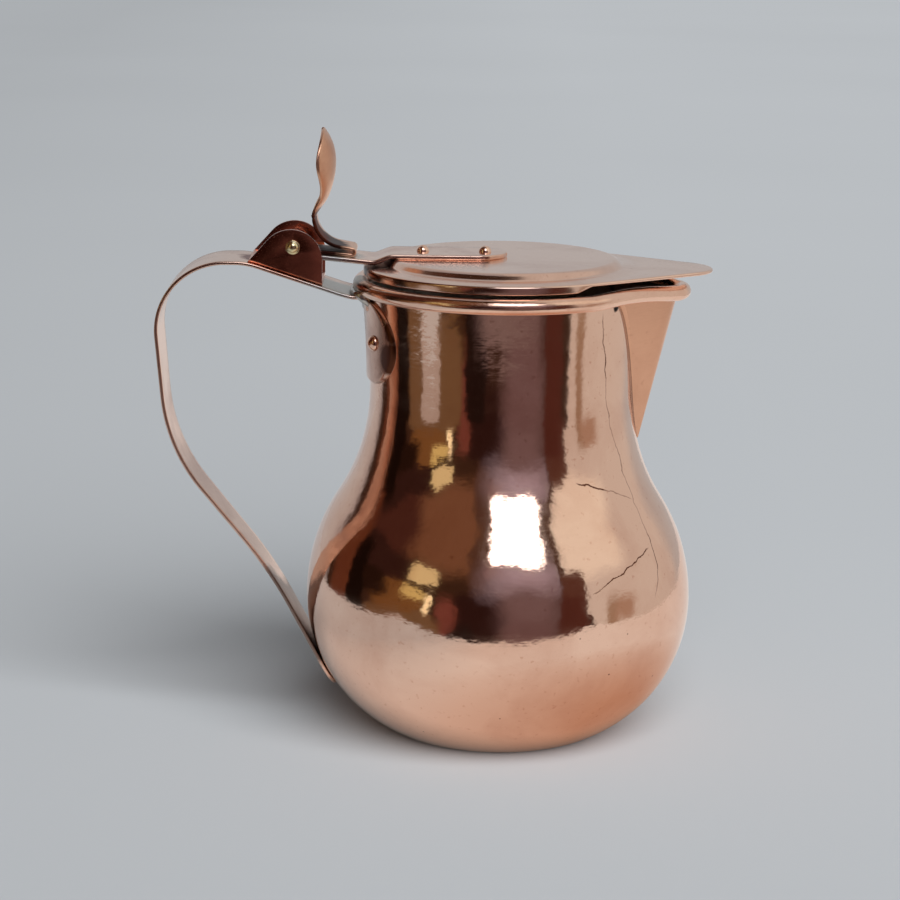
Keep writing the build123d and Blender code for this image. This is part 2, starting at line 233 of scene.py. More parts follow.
def finish_tree(add, geometry, material):
    """Ends a tree: instances made real, the material set."""
    real = add("GeometryNodeRealizeInstances", geometry)
    add("NodeGroupOutput", add("GeometryNodeSetMaterial", real, {"Material": material}))


def new_material(name):
    """An empty material, and the function that adds its nodes."""
    material = bpy.data.materials.new(name)
    material.use_nodes = True
    material.node_tree.nodes.clear()
    return material, adder(material.node_tree)


def metal(
    name,
    lines="round",
    bright="#F7CEB6",
    tarnished="#BE7A5C",
    tarnish=0.45,
    gloss=0.1,
    ripple=0.0,
    spots=(),
    hairlines=None,
    pitted=False,
):
    """Metal rubbed bright, with tarnish in soft patches and fine polishing lines that run round
    the jug, along a strip or over a flat sheet. Spots are wiped tin, darker patches, painted shade
    and painted reflections."""
    material, add = new_material(name)
    place = add("TexCoord").outputs["Object"]
    axes = add("SeparateXYZ", place).outputs
    flat = add("VectorMath MULTIPLY", place, (1.0, 1.0, 0.0))
    reach = add("VectorMath LENGTH", flat).outputs["Value"]
    # Polishing lines about 0.5 mm apart, drawn coarser than real ones so that they show
    scales = {"round": (45.0, 45.0, 1900.0), "along": (70.0, 1700.0, 70.0)}
    if lines in scales:
        run = add("Mapping", {"Vector": place, "Scale": scales[lines]})
    else:
        slow = add("VectorMath SCALE", flat, {"Scale": 40.0})
        quick = add("Math MULTIPLY", reach, 1700.0)
        run = add("VectorMath ADD", slow, add("CombineXYZ", {"Z": quick}))
    scratches = add("TexNoise", run, {"Detail": 2.0, "Scale": 1.0, "Roughness": 0.6})
    patches = add("TexNoise", place, {"Scale": 30.0, "Detail": 5.0, "Roughness": 0.62, "Distortion": 0.4})
    stained = add("MapRange", patches, 0.44, 0.74, 0.0, tarnish)
    freckles = add("TexNoise", place, {"Scale": 520.0, "Detail": 3.0})
    freckled = add("MapRange", freckles, 0.64, 0.74, 0.0, 0.3)
    both = add("Math ADD", stained, freckled, use_clamp=True)
    colour = add("Mix", {"Factor": both, 6: linear(bright), 7: linear(tarnished)}, data_type="RGBA")
    rough = add("Math MULTIPLY_ADD", scratches, 0.08, gloss - 0.03)
    rough = add("Math MULTIPLY_ADD", both, 0.12, rough)
    normal = add("Bump", 0.35, MM * 0.012, {"Height": scratches})
    if ripple:
        # Planishing leaves shallow facets about 4 mm across, a little wider than high
        ridges = add("Mapping", {"Vector": place, "Scale": (210.0, 210.0, 290.0)})
        ridges = add("TexNoise", ridges, {"Scale": 1.0, "Detail": 2.0})
        normal = add("Bump", 1.0, MM * ripple, {"Height": ridges, "Normal": normal})
    # What lies on the metal, and painted shade and reflections: where each is, its colour and how
    # much duller it is
    marks = []
    # Spots: wiped tin, darker patches, painted shade and painted reflections
    for centre, radius, shade in spots:
        centre = [MM * c for c in centre]
        away = add("VectorMath DISTANCE", place, centre).outputs["Value"]
        away = add("Math MULTIPLY_ADD", patches, -MM * radius * 2.4, away)
        marks.append((add("MapRange", away, -MM * radius * 0.05, -MM * radius * 0.4), shade, 0.14))
    if hairlines:
        cracked = hairlines(add, place, axes, reach)
        marks.append((cracked, "#6A4030", 0.25))
        sunk = add("Math MULTIPLY", cracked, -1.0)
        normal = add("Bump", 1.0, MM * 0.05, {"Height": sunk, "Normal": normal})
    if pitted:
        # Pits 0.5 mm wide where old corrosion was polished out, only low on the belly
        cells = add("TexVoronoi", place, {"Scale": 190.0}).outputs
        pick = add("MapRange", add("SeparateColor", cells["Color"]), 0.24, 0.2)
        deep = add("MapRange", cells["Distance"], 0.075, 0.035)
        low_down = add("MapRange", axes["Z"], MM * 62, MM * 40)
        pits = add("Math MULTIPLY", deep, pick)
        marks.append((add("Math MULTIPLY", pits, low_down), "#4E2A1C", 0.0))
    for mask, shade, dulling in marks:
        colour = add("Mix", {"Factor": mask, 6: colour.outputs[2], 7: linear(shade)}, data_type="RGBA")
        rough = add("Math MULTIPLY_ADD", mask, dulling, rough)
    finish = {"Base Color": colour.outputs[2], "Metallic": 1.0, "Roughness": rough, "Normal": normal}
    add("OutputMaterial", add("BsdfPrincipled", finish))
    return material


# Where the vessel's sheet was let in and brazed: fine dark joints in the right shoulder, as
# (degrees round from the lip, height) down the joint and (degrees, height) along its branches
JOINT_DOWN = (
    (46, 154), (44.4, 147.5), (42.3, 137), (38.8, 119.4), (34.6, 106.9),
    (32.8, 96.6), (32.7, 88.3), (33.8, 78.8), (34.3, 65.8), (38, 57),
)
JOINT_BRANCHES = (
    ((33.1, 88.7), (40.4, 91.5), (46.7, 93.6), (53.6, 95.7), (60.3, 97.3)),
    ((35.5, 74), (41, 71.8), (47.5, 69.4), (53.3, 67.5), (57.8, 65.3), (62.3, 62.6)),
)
# A curve's heights run from 0 to 1, which stands for half a turn or this height in metres
JOINT_SPAN = 0.16


def followed(add, value, points, low, high):
    """The height of a line drawn through points, at a value from low to high."""
    line = add("FloatCurve", {"Value": add("MapRange", value, low, high)})
    curve = line.mapping.curves[0]
    drawn = [((at - low) / (high - low), level) for at, level in sorted(points)]
    curve.points[0].location, curve.points[1].location = drawn[0], drawn[-1]
    for point in drawn[1:-1]:
        curve.points.new(*point)
    line.mapping.update()
    return line


def brazed_joints(add, place, axes, reach):
    """1 on the hairlines of the joint, 0 elsewhere."""
    aside = add("Math MULTIPLY", axes["Y"], -1.0)
    turn = add("Math ARCTAN2", aside, axes["X"])
    wander = add("TexNoise", place, {"Scale": 150.0, "Detail": 5.0})
    wander = add("Math SUBTRACT", wander, 0.5)
    broken = add("TexNoise", place, {"Scale": 90.0, "Detail": 2.0})
    broken = add("MapRange", broken, 0.4, 0.55, 0.4, 1.0)
    found = 0.0
    for points in (JOINT_DOWN, *JOINT_BRANCHES):
        # The joint down gives its turn at each height, a branch its height at each turn
        down = points is JOINT_DOWN
        if down:
            line = [(MM * z, radians(a) / pi) for a, z in points]
        else:
            line = [(radians(a), MM * z / JOINT_SPAN) for a, z in points]
        value, level = (axes["Z"], turn) if down else (turn, axes["Z"])
        low, high = min(line)[0], max(line)[0]
        drawn = followed(add, value, line, low, high)
        drawn = add("Math MULTIPLY", drawn, pi if down else JOINT_SPAN)
        off = add("Math SUBTRACT", level, drawn)
        if down:
            off = add("Math MULTIPLY", off, reach)
        off = add("Math MULTIPLY_ADD", wander, MM * 4.2, off)
        off = add("Math ABSOLUTE", off)
        mask = add("MapRange", off, MM * 0.34, MM * 0.14)
        middle = add("Math SUBTRACT", value, (low + high) / 2)
        middle = add("Math ABSOLUTE", middle)
        span = add("MapRange", middle, (high - low) / 2, (high - low) * 0.44)
        mask = add("Math MULTIPLY", mask, span)
        found = add("Math MAXIMUM", found, mask)
    near_side = add("Math GREATER_THAN", aside, 0.0)
    found = add("Math MULTIPLY", found, near_side)
    return add("Math MULTIPLY", found, broken)


# Raised copper, planished and polished: bright, with waving reflections and lines round it, and
# a painted shade in the notch under the rim
planished_copper = metal(
    "planished_copper",
    bright="#F7D0B9",
    tarnish=0.32,
    gloss=0.07,
    ripple=0.06,
    # Painted shade in the notch under the rim
    spots=(((38, -29, 154.5), 1.7, "#1C100C"),),
    hairlines=brazed_joints,
    pitted=True,
)
# Tin wiped on hot inside the vessel: grey, dull and a little streaky
tin_lining = metal("tin_lining", bright="#C9C7C2", tarnished="#8E8A80", tarnish=0.7, gloss=0.32)

# The outline from the middle of the base to the rim, as (radius, height)
wall_heights = [*np.linspace(FOOT_RISE, SHOULDER_TOP, 90), *np.linspace(SHOULDER_TOP, SHEET_TOP, 60)[1:]]
outline_points = [(r, 0.0) for r in np.linspace(0, BASE_RADIUS - FOOT_ROUNDING, 12)]
outline_points += [(vessel_radius(z), z) for z in wall_heights]
outline = drawn_line("vessel_outline", [(r, 0, z) for r, z in outline_points], closed=False)

# The rule: each level of the vessel is an arc that leaves the V open, whose edge is where the
# lip's flat flank meets the round neck.
raising, add, given = new_tree("raised_vessel", {
    "Outline": "Object",
    "Rows": "Int",
    "Columns": "Int",
    "Lip point height": "Float",
    "Rim height": "Float",
    "Lip point reach": "Float",
    "Flank turn": "Float",
    "Rim radius": "Float",
    "Hammer mark size": "Float",
    "Hammer mark depth": "Float",
    "Seed": "Float",
    "Material": "Material",
})
sheet = add("GeometryNodeMeshGrid", 1.0, 1.0, given["Columns"], given["Rows"])
place = add("SeparateXYZ", add("GeometryNodeInputPosition")).outputs
across = add("Math ADD", place["X"], 0.5)
along = add("Math ADD", place["Y"], 0.5)
drawn = add("GeometryNodeObjectInfo", given["Outline"]).outputs["Geometry"]
level = add("GeometryNodeSampleCurve", {"Curves": drawn, "Factor": along}, mode="FACTOR")
level = add("SeparateXYZ", level.outputs["Position"]).outputs
share = add("MapRange", level["Z"], given["Lip point height"], given["Rim height"])
flank_cos = add("Math COSINE", given["Flank turn"])
at_point = add("Math MULTIPLY", given["Lip point reach"], flank_cos)
flank = add("Mix", {"Factor": share, "A": at_point, "B": given["Rim radius"]})
flank_share = add("Math DIVIDE", flank, level["X"])
flank_share = add("Math MINIMUM", flank_share, 1.0)
reached = add("Math ARCCOSINE", flank_share)
edge_turn = add("Math SUBTRACT", given["Flank turn"], reached)
edge_turn = add("Math MAXIMUM", edge_turn, 0.0)
open_here = add("Math GREATER_THAN", share, 0.0)
edge_turn = add("Math MULTIPLY", edge_turn, open_here)
far_turn = add("Math SUBTRACT", 2 * pi, edge_turn)
turn = add("Mix", {"Factor": across, "A": edge_turn, "B": far_turn})
ring_cos = add("Math COSINE", turn)
ring = add("CombineXYZ", ring_cos, add("Math SINE", turn))
ring = add("VectorMath SCALE", ring, {"Scale": level["X"]})
lift = add("CombineXYZ", {"Z": level["Z"]})
raised = add("VectorMath ADD", ring, lift)
vessel = add("GeometryNodeSetPosition", sheet, {"Position": raised})
vessel = add("GeometryNodeMergeByDistance", vessel, {"Distance": 1e-5})
per_mark = add("Math DIVIDE", 1.0, given["Hammer mark size"])
marks = {"W": given["Seed"], "Scale": per_mark, "Detail": 1.0}
marks = add("TexNoise", marks, noise_dimensions="4D")
sunk = add("Math SUBTRACT", marks, 0.5)
sunk = add("Math MULTIPLY", sunk, given["Hammer mark depth"])
# The marks fade out towards the base, which stays flat
height = add("SeparateXYZ", add("GeometryNodeInputPosition")).outputs["Z"]
sunk = add("Math MULTIPLY", sunk, add("MapRange", height, 0.0, MM * 12))
blow = add("GeometryNodeInputNormal")
blow = add("VectorMath SCALE", blow, {"Scale": sunk})
vessel = add("GeometryNodeSetPosition", vessel, {"Offset": blow})
finish_tree(add, vessel, given["Material"])

body = grow(
    plain_mesh("vessel", [], [], planished_copper),
    raising,
    Outline=outline,
    Rows=150,
    Columns=220,
    Lip_point_height=MM * LIP_POINT_HEIGHT,
    Rim_height=MM * RIM_HEIGHT,
    Lip_point_reach=MM * LIP_POINT_REACH,
    Flank_turn=FLANK_TURN,
    Rim_radius=MM * RIM_RADIUS,
    Hammer_mark_size=MM * 16,
    Hammer_mark_depth=MM * 0.3,
    Seed=3.0,
    Material=planished_copper,
)
bpy.data.objects.remove(outline)
body.data.materials.append(tin_lining)
body = modified(body, "SOLIDIFY", thickness=MM * WALL, offset=-1, material_offset=1)
fit(body, "jug", "copper", "jug_body")

# Pouring lip
# A bent sheet of copper brazed into the V of the neck: two flat flanks and a round front edge
# that run together at a point low on the neck.
LIP_SHEET = 0.9
LIP_START = LIP_POINT_HEIGHT + 1.6
LIP_ROWS = 40
FLANK_POINTS = 9
FRONT_POINTS = 11
CREASE_WIDTH = 0.9
CREASE_START_WIDTH = 0.15
CREASE_SPREAD = 0.06
CREASE_STEPS = 6
# Rolled copper sheet, redder than the vessel and finished with fine paper
lip_copper = metal("lip_copper", bright="#E0AB8C", tarnished="#AA674A", tarnish=0.3, gloss=0.2)
# Brass braze run along the crease, darkened with painted shade of the crease
crease_braze_and_shade = metal("dark_braze", bright="#C08A6C", tarnished="#5A3020", tarnish=0.9, gloss=0.22)


def arc(centre, radius, start, end, count):
    """Points along an arc, its radius one number or one each way."""
    return [np.array(centre) + np.array(radius) * (cos(a), sin(a)) for a in np.linspace(start, end, count)]


def grid_faces(rows, columns, closed=False):
    """Quads between rows of points, the columns closed into rings where asked."""
    faces = []
    for row in range(rows - 1):
        low, high = row * columns, (row + 1) * columns
        for column in range(columns if closed else columns - 1):
            after = (column + 1) % columns
            faces.append((low + column, low + after, high + after, high + column))
    return faces


def outwards(piece):
    """Turns all faces of a closed mesh outwards."""
    made = bmesh.new()
    made.from_mesh(piece.data)
    bmesh.ops.recalc_face_normals(made, faces=made.faces)
    made.to_mesh(piece.data)
    made.free()
    return piece


def tube(name, sections, *materials):
    """A closed mesh of rings of points, flat at both ends."""
    columns = len(sections[0])
    last = (len(sections) - 1) * columns
    faces = grid_faces(len(sections), columns, closed=True)
    faces += [tuple(range(columns)), tuple(range(last, last + columns))]
    points = [point for section in sections for point in section]
    return outwards(plain_mesh(name, points, faces, *materials))


def joined(name, parts, material):
    """One object made of these closed meshes."""
    points = []
    faces = []
    for part in parts:
        start = len(points)
        points += [tuple(c / MM for c in v.co) for v in part.data.vertices]
        faces += [tuple(start + v for v in polygon.vertices) for polygon in part.data.polygons]
        bpy.data.objects.remove(part)
    return plain_mesh(name, points, faces, material)


def lip_level(height):
    """Outer line of the lip at a height, from the crease on one side to the other."""
    share = (height - LIP_POINT_HEIGHT) / (RIM_HEIGHT - LIP_POINT_HEIGHT)
    reach = vessel_radius(height)
    flank_distance = (1 - share) * LIP_POINT_REACH * cos(FLANK_TURN) + share * RIM_RADIUS
    crease = max(FLANK_TURN - acos(min(flank_distance / reach, 1)), 0)
    tip_radius = share * (LIP_TIP_RADIUS - BEAD_STAND_OUT)
    tip_centre = (1 - share) * LIP_POINT_REACH + share * LIP_TIP_CENTRE
    front = arc((tip_centre, 0), tip_radius, FLANK_TURN, 0, FRONT_POINTS)
    start = (reach * cos(crease), reach * sin(crease))
    half = [*np.linspace(start, front[0], FLANK_POINTS)[:-1], *front]
    return np.array([(x, y, height) for x, y in half] + [(x, -y, height) for x, y in half[-2::-1]])


def crease_section(height):
    """Ring of the braze at a height: a hollow fillet from neck to flank, and its sunken root."""
    level_line = lip_level(height)
    start = level_line[0]
    flank = level_line[FLANK_POINTS - 2] - start
    width = min(CREASE_WIDTH, CREASE_START_WIDTH + (height - LIP_START) * CREASE_SPREAD)
    reach = vessel_radius(height)
    turn = atan2(start[1], start[0]) + width / reach
    on_neck = np.array([reach * cos(turn), reach * sin(turn), height])
    on_flank = start + flank / max(np.linalg.norm(flank), 1e-6) * width
    steps = np.linspace(0, 1, CREASE_STEPS)
    fillet = [on_neck * (1 - t) ** 2 + 2 * start * t * (1 - t) + on_flank * t**2 for t in steps]
    return [*fillet, start * (0.99, 0.99, 1.0)]


levels = LIP_START + (SHEET_TOP - LIP_START) * np.linspace(0, 1, LIP_ROWS) ** 1.2
lip_lines = [lip_level(height) for height in levels]
lip_faces = [face[::-1] for face in grid_faces(LIP_ROWS, len(lip_lines[0]))]
lip_points = [point for line in lip_lines for point in line]
lip = plain_mesh("pouring_lip", lip_points, lip_faces, lip_copper, tin_lining)
lip = modified(lip, "SOLIDIFY", thickness=MM * LIP_SHEET, offset=-1, material_offset=1)
fit(lip, "jug", "copper", "spout")

# The braze in the crease, its dark colour partly painted shade
creases = []
for side in (1, -1):
    creases.append(tube("crease", [crease_section(height) * np.array([1, side, 1]) for height in levels]))
fit(joined("brazed_crease", creases, crease_braze_and_shade), "jug", "copper")

# Rolled rim
# The top edge of the neck and lip is rolled round an iron wire into a round bead, which runs on
# without a break, and is then dressed with a hammer.
BEAD_RADIUS = 2.65
WIRE_RADIUS = 1.6
LIP_BEGINS = 30.0
TIP_DROOP = 1.3
FLANK_RISE = 0.6

# The bead's line runs round the neck and the lip, with the small rise and droop of the lip
back = arc((0, 0), RIM_RADIUS + BEAD_STAND_OUT, FLANK_TURN, 2 * pi - FLANK_TURN, 120)
front = arc((LIP_TIP_CENTRE, 0), LIP_TIP_RADIUS, -FLANK_TURN, FLANK_TURN, 31)
flank = np.linspace(back[-1], front[0], 14)[1:-1]
rim_line = []
for x, y in [*back, *flank, *front, *(flank * (1, -1))[::-1]]:
    out = min(max(x / LIP_BEGINS - 1, 0), 1)
    rise = FLANK_RISE * sin(pi * min(out * 1.2, 1)) - TIP_DROOP * out**3
    rim_line.append((x, y, RIM_HEIGHT + rise))

sizes = {"Radius": "Float", "Sides": "Int", "Step": "Float", "Material": "Material"}
rolling, add, given = new_tree("rolled_rim", sizes)
line = {"Curve": given["Geometry"], "Length": given["Step"]}
line = add("GeometryNodeResampleCurve", line, mode="LENGTH")
line = add("GeometryNodeSetCurveNormal", line, mode="Z_UP")
section = add("GeometryNodeCurvePrimitiveCircle", given["Sides"], {"Radius": given["Radius"]})
finish_tree(add, add("GeometryNodeCurveToMesh", line, section), given["Material"])

# The rolled edge is dressed with a hammer, so its reflections are broad and uneven, with tin on
# it where the handle was soldered
bead_copper = metal("bead_copper", gloss=0.17, ripple=0.09, spots=(((-50, -8, 157), 8, "#BFBDB8"),))
bead = drawn_line("rim_bead_rolled", rim_line, closed=True)
bead = grow(bead, rolling, Radius=MM * BEAD_RADIUS, Sides=28, Step=MM * 1.2, Material=bead_copper)
fit(bead, "jug", "copper", "rim_bead")

# Drawn iron, grey and rusted brown inside the roll
iron = metal("iron_wire", bright="#9A9895", tarnished="#6A4A38", tarnish=0.8, gloss=0.35)
wire = drawn_line("rim_wire_bent", rim_line, closed=True)
wire = grow(wire, rolling, Radius=MM * WIRE_RADIUS, Sides=14, Step=MM * 2.0, Material=iron)
fit(wire, "jug", "iron_wire", "rim_wire")

# Strap handle
# A strip of copper sheet bent to a hanging S, its upper end cut into a cross tongue that is
# riveted round the back of the neck under the rim, its foot hammered to the belly and riveted.
STRAP = 1.2
HANDLE_TOP_WIDTH = 27.0
HANDLE_FOOT_WIDTH = 18.5
TAPER_TOP = 155.0
TAPER_FOOT = 70.0
STRAP_START = 154.25
HANDLE_TOP = 165.6
FOOT_BOTTOM = 15.0
FOOT_CORNER = 5.0
KNEE = (-79.8, 56.6)
EDGE_ROUNDING = 0.42
TONGUE_ROUNDING = 1.0
TONGUE_HALF_LONG = 28.7
TONGUE_HALF_HIGH = 14.3
TONGUE_HEIGHT = 139.3
TONGUE_TOP = 153.4
TONGUE_SUNK = 0.3
NECK_BEND_REACH = 56.0
NECK_BEND_RUN = 7.0
# Where the strap's middle line would turn if it bent sharply, and the radii of its bends
HANDLE_CORNERS = (
    (-48.0, 150.0), (-48.0, STRAP_START), (-52.5, STRAP_START), (-87.6, HANDLE_TOP),
    (-120.8, HANDLE_TOP), (-115.2, 100.15), KNEE,
)
HANDLE_BENDS = (1.2, 1.8, 25.0, 24.0, 60.0, 150.0)
# A cut end as slices: how far beyond the strip's end, and the share of the thickness left
CUT_END = ((0.0, 1.0), (0.2, 0.75), (0.35, 0.35))


def rounded_line(corners, radii, step):
    """Points along a line with rounded corners, about step apart."""
    corners = [np.array(c, float) for c in corners]
    points = []

    def straight(a, b):
        count = max(int(np.linalg.norm(b - a) / step), 1)
        points.extend(np.linspace(a, b, count + 1)[:-1])

    at = corners[0]
    for before, corner, after, radius in zip(corners, corners[1:], corners[2:], radii):
        come = (corner - before) / np.linalg.norm(corner - before)
        leave = (after - corner) / np.linalg.norm(after - corner)
        bend = atan2(come[0] * leave[1] - come[1] * leave[0], float(come @ leave))
        tangent = radius * abs(np.tan(bend / 2))
        first = corner - come * tangent
        straight(at, first)
        arm = radius * np.array([come[1], -come[0]]) * (1 if bend > 0 else -1)
        turn = atan2(arm[1], arm[0])
        count = max(int(abs(bend) * radius / step), 6)
        points += arc(first - arm, radius, turn, turn + bend, count + 1)[:-1]
        at = corner + leave * tangent
    straight(at, corners[-1])
    return [*points, corners[-1]]


def strip_loop(half, thickness, across):
    """Section of a flat strip as (sideways, outwards) points, its edges rounded."""
    rounding = (min(EDGE_ROUNDING, half * 0.9), EDGE_ROUNDING)
    flat, high = half - rounding[0], thickness / 2 - EDGE_ROUNDING
    upper = [np.array([y, thickness / 2]) for y in np.linspace(-flat, flat, across)]
    upper += arc((flat, high), rounding, pi / 2, 0, 5)[1:]
    upper += arc((flat, -high), rounding, 0, -pi / 2, 5)[:-1]
    return upper + [-point for point in upper]


def strip(name, line, half_width, thickness, *materials, across=9, sag=None):
    """A strip of sheet whose middle follows a line in the XZ plane, closed and rounded at its ends."""
    line = [np.array(p, float) for p in line]
    sections = []
    for number, middle in enumerate(line):
        before = line[max(number - 1, 0)]
        after = line[min(number + 1, len(line) - 1)]
        run = (after - before) / np.linalg.norm(after - before)
        out = np.array([-run[1], run[0]])
        slices = CUT_END[:1]
        if number == 0:
            slices = [(-slip, share) for slip, share in CUT_END[::-1]]
        if number == len(line) - 1:
            slices = CUT_END
        for slip, share in slices:
            half = max(half_width(middle) - thickness / 2 * (1 - share), 0.05)
            section = []
            for y, n in strip_loop(half, thickness, across):
                x, z = middle + run * slip + out * n * share
                section.append((x - (sag(y, middle) if sag else 0.0), y, z))
            sections.append(section)
    return tube(name, sections, *materials)


def shell(name, rings, first_middle, last_middle, *materials):
    """A closed mesh of rings of points, each end closed to a point in its middle."""
    count = len(rings[0])
    low = len(rings) * count
    faces = grid_faces(len(rings), count, closed=True)
    for n in range(count):
        after = (n + 1) % count
        faces += [(low, after, n), (low + 1, low - count + n, low - count + after)]
    points = [point for ring in rings for point in ring]
    return outwards(plain_mesh(name, [*points, first_middle, last_middle], faces, *materials))


def handle_line():
    """Middle line of the strap, from under the rim to where it touches the belly, then down it."""
    belly_centre = np.array([LOWER_ARC - BELLY_RADIUS, BELLY_HEIGHT])
    seat = LOWER_ARC + STRAP / 2
    towards = belly_centre - KNEE
    span = np.linalg.norm(towards)
    turn = atan2(towards[1], towards[0]) - asin(seat / span)
    touch = KNEE + np.array([cos(turn), sin(turn)]) * sqrt(span**2 - seat**2)
    start = atan2(touch[1] - belly_centre[1], touch[0] - belly_centre[0]) % (2 * pi)
    end = pi + asin((BELLY_HEIGHT - FOOT_BOTTOM) / seat)
    pad = arc(belly_centre, seat, start, end, 14)[1:]
    return rounded_line([*HANDLE_CORNERS, touch], HANDLE_BENDS, 1.6) + pad


def handle_half(middle):
    """Half of the strap's width at a point, down to its rounded foot."""
    share = min(max((TAPER_TOP - middle[1]) / (TAPER_TOP - TAPER_FOOT), 0), 1)
    half = (HANDLE_TOP_WIDTH + (HANDLE_FOOT_WIDTH - HANDLE_TOP_WIDTH) * share) / 2
    above = middle[1] - FOOT_BOTTOM
    if middle[0] > KNEE[0] and above < FOOT_CORNER:
        half -= FOOT_CORNER - sqrt(max(FOOT_CORNER**2 - (FOOT_CORNER - above) ** 2, 0))
    return half


def against_neck(y, middle):
    """Bends the strap's turned-down end round the neck, and less and less up to the rim."""
    share = min(max((middle[0] + NECK_BEND_REACH) / NECK_BEND_RUN, 0), 1)
    share = share**2 * (3 - 2 * share) if middle[1] > RIM_HEIGHT - 10 else 0.0
    return (sqrt(RIM_RADIUS**2 - y**2) - RIM_RADIUS) * share


def in_tongue(y, z):
    """Whether a point is in the tongue's flat shape: a rounded bar, with the strap's neck above."""
    beside = max(abs(y) - TONGUE_HALF_LONG + TONGUE_HALF_HIGH, 0)
    under_strap = abs(y) <= HANDLE_TOP_WIDTH / 2 and 0 <= z <= TONGUE_TOP - TONGUE_HEIGHT
    return under_strap or beside**2 + z**2 <= TONGUE_HALF_HIGH**2


def make_tongue():
    """The cross tongue as a closed plate bent round the neck."""
    outline = []
    for turn in np.linspace(0, 2 * pi, 120, endpoint=False):
        low, high = 0.0, 40.0
        for _ in range(30):
            reach = (low + high) / 2
            inside = in_tongue(reach * cos(turn), reach * sin(turn))
            low, high = (reach, high) if inside else (low, reach)
        outline.append(np.array([cos(turn), sin(turn)]) * low)

    def on_neck(y, z, outset):
        radius = vessel_radius(TONGUE_HEIGHT + z) + outset
        return (-sqrt(radius**2 - y**2), y, TONGUE_HEIGHT + z)

    # Rings from the middle out, round the edge and under it: share, inset and height off the neck
    rings = [(part, 0.0, STRAP) for part in (0.2, 0.4, 0.6, 0.8, 0.92)]
    edge = arc((TONGUE_ROUNDING, STRAP - TONGUE_ROUNDING), TONGUE_ROUNDING, pi / 2, pi, 8)
    rings += [(1.0, inset, outset) for inset, outset in edge]
    rings += [(1.0, 0.0, -TONGUE_SUNK)]
    placed = []
    for part, inset, outset in rings:
        shrunk = [point * part * (1 - inset / np.linalg.norm(point)) for point in outline]
        placed.append([on_neck(y, z, outset) for y, z in shrunk])
    return shell("tongue", placed, on_neck(0, 0, STRAP), on_neck(0, 0, -TONGUE_SUNK))


# Strap copper: rubbed along its length, tinned grey where it was soldered by the rim, darker at
# the top bend, with a painted dark reflection on the tongue's near end and painted shade low
# on the strap by its foot
strap_copper = metal(
    "strap_copper",
    lines="along",
    bright="#EAC5B0",
    tarnished="#96604C",
    tarnish=0.7,
    gloss=0.16,
    spots=(
        ((-57, -4, 156), 12, "#BFBDB8"),
        ((-84, 0, 167), 9, "#7A4030"),
        # Painted dark reflection on the tongue's near end
        ((-37.5, -30, 146), 6, "#5A3424"),
        ((-38, -29.5, 136), 6, "#5A3424"),
        # Painted shade low on the strap, by its foot
        ((-72, 0, 38), 20, "#8E7B72"),
    ),
)
strap = strip("strap", handle_line(), handle_half, STRAP, sag=against_neck)
fit(joined("strap_handle", [strap, make_tongue()], strap_copper), "jug", "copper", "handle")

# Solder
# Soft solder run with a hot iron into the corner between the strap and the rolled rim, left as
# it froze: a lumpy grey bead, thickest at the near edge of the strap.
SOLDER_STEPS = 60
SOLDER_SIDES = 16
SOLDER_RADIUS = 0.85
SOLDER_SWELL = 0.55
SOLDER_GAP = 0.15
SOLDER_HEIGHT = 155.45
SOLDER_HALF = 13.4
LUMP = 0.25
# Dull grey metal that froze rough, never polished
soft_solder = metal("soft_solder", bright="#C6C4BF", tarnished="#5C554E", tarnish=0.9, gloss=0.24)
# It climbs from under the strap's edge, runs along the rim's back and goes down on the far side
solder_end = [(-45.3, -13.8, 151.0), (-45.9, -13.9, 152.4), (-46.9, -14.0, 153.8), (-49.0, -14.0, 155.0)]
behind = RIM_RADIUS + BEAD_STAND_OUT + BEAD_RADIUS + SOLDER_GAP
sideways = np.linspace(-SOLDER_HALF, SOLDER_HALF, 22)
along_rim = [(-sqrt(behind**2 - y**2), y, SOLDER_HEIGHT) for y in sideways]
solder_corners = np.array([*solder_end, *along_rim, *((x, -y, z) for x, y, z in solder_end[::-1])])
walked = np.cumsum([0, *np.linalg.norm(np.diff(solder_corners, axis=0), axis=1)])
even = np.linspace(0, walked[-1], SOLDER_STEPS)
solder_line = np.stack([np.interp(even, walked, solder_corners[:, c]) for c in range(3)], axis=1)
solder_runs = np.gradient(solder_line, axis=0)
lumps = np.random.default_rng(4).uniform(-LUMP, LUMP, (SOLDER_STEPS // 3 + 2, SOLDER_SIDES // 2))
solder_rings = []
for step, (middle, run) in enumerate(zip(solder_line, solder_runs)):
    run = run / np.linalg.norm(run)
    side_way = np.cross(run, (0.8, 0.0, 0.6))
    side_way = side_way / np.linalg.norm(side_way)
    up_way = np.cross(side_way, run)
    off_middle = abs(2 * step / (SOLDER_STEPS - 1) - 1)
    swell = SOLDER_SWELL * np.exp(-(((off_middle - 0.8) / 0.12) ** 2))
    thick = (SOLDER_RADIUS + swell) * sqrt(max(1 - off_middle**20, 0.02))
    row, part = divmod(step / 3, 1)
    solder_ring = []
    for side in range(SOLDER_SIDES):
        a = 2 * pi * side / SOLDER_SIDES
        r = thick * (1 + lumps[int(row), side // 2] * (1 - part) + lumps[int(row) + 1, side // 2] * part)
        solder_ring.append(middle + r * (cos(a) * side_way + sin(a) * up_way))
    solder_rings.append(solder_ring)
solder = tube("solder", solder_rings, soft_solder)
fit(modified(solder, "SUBSURF", levels=1), "jug", "copper")

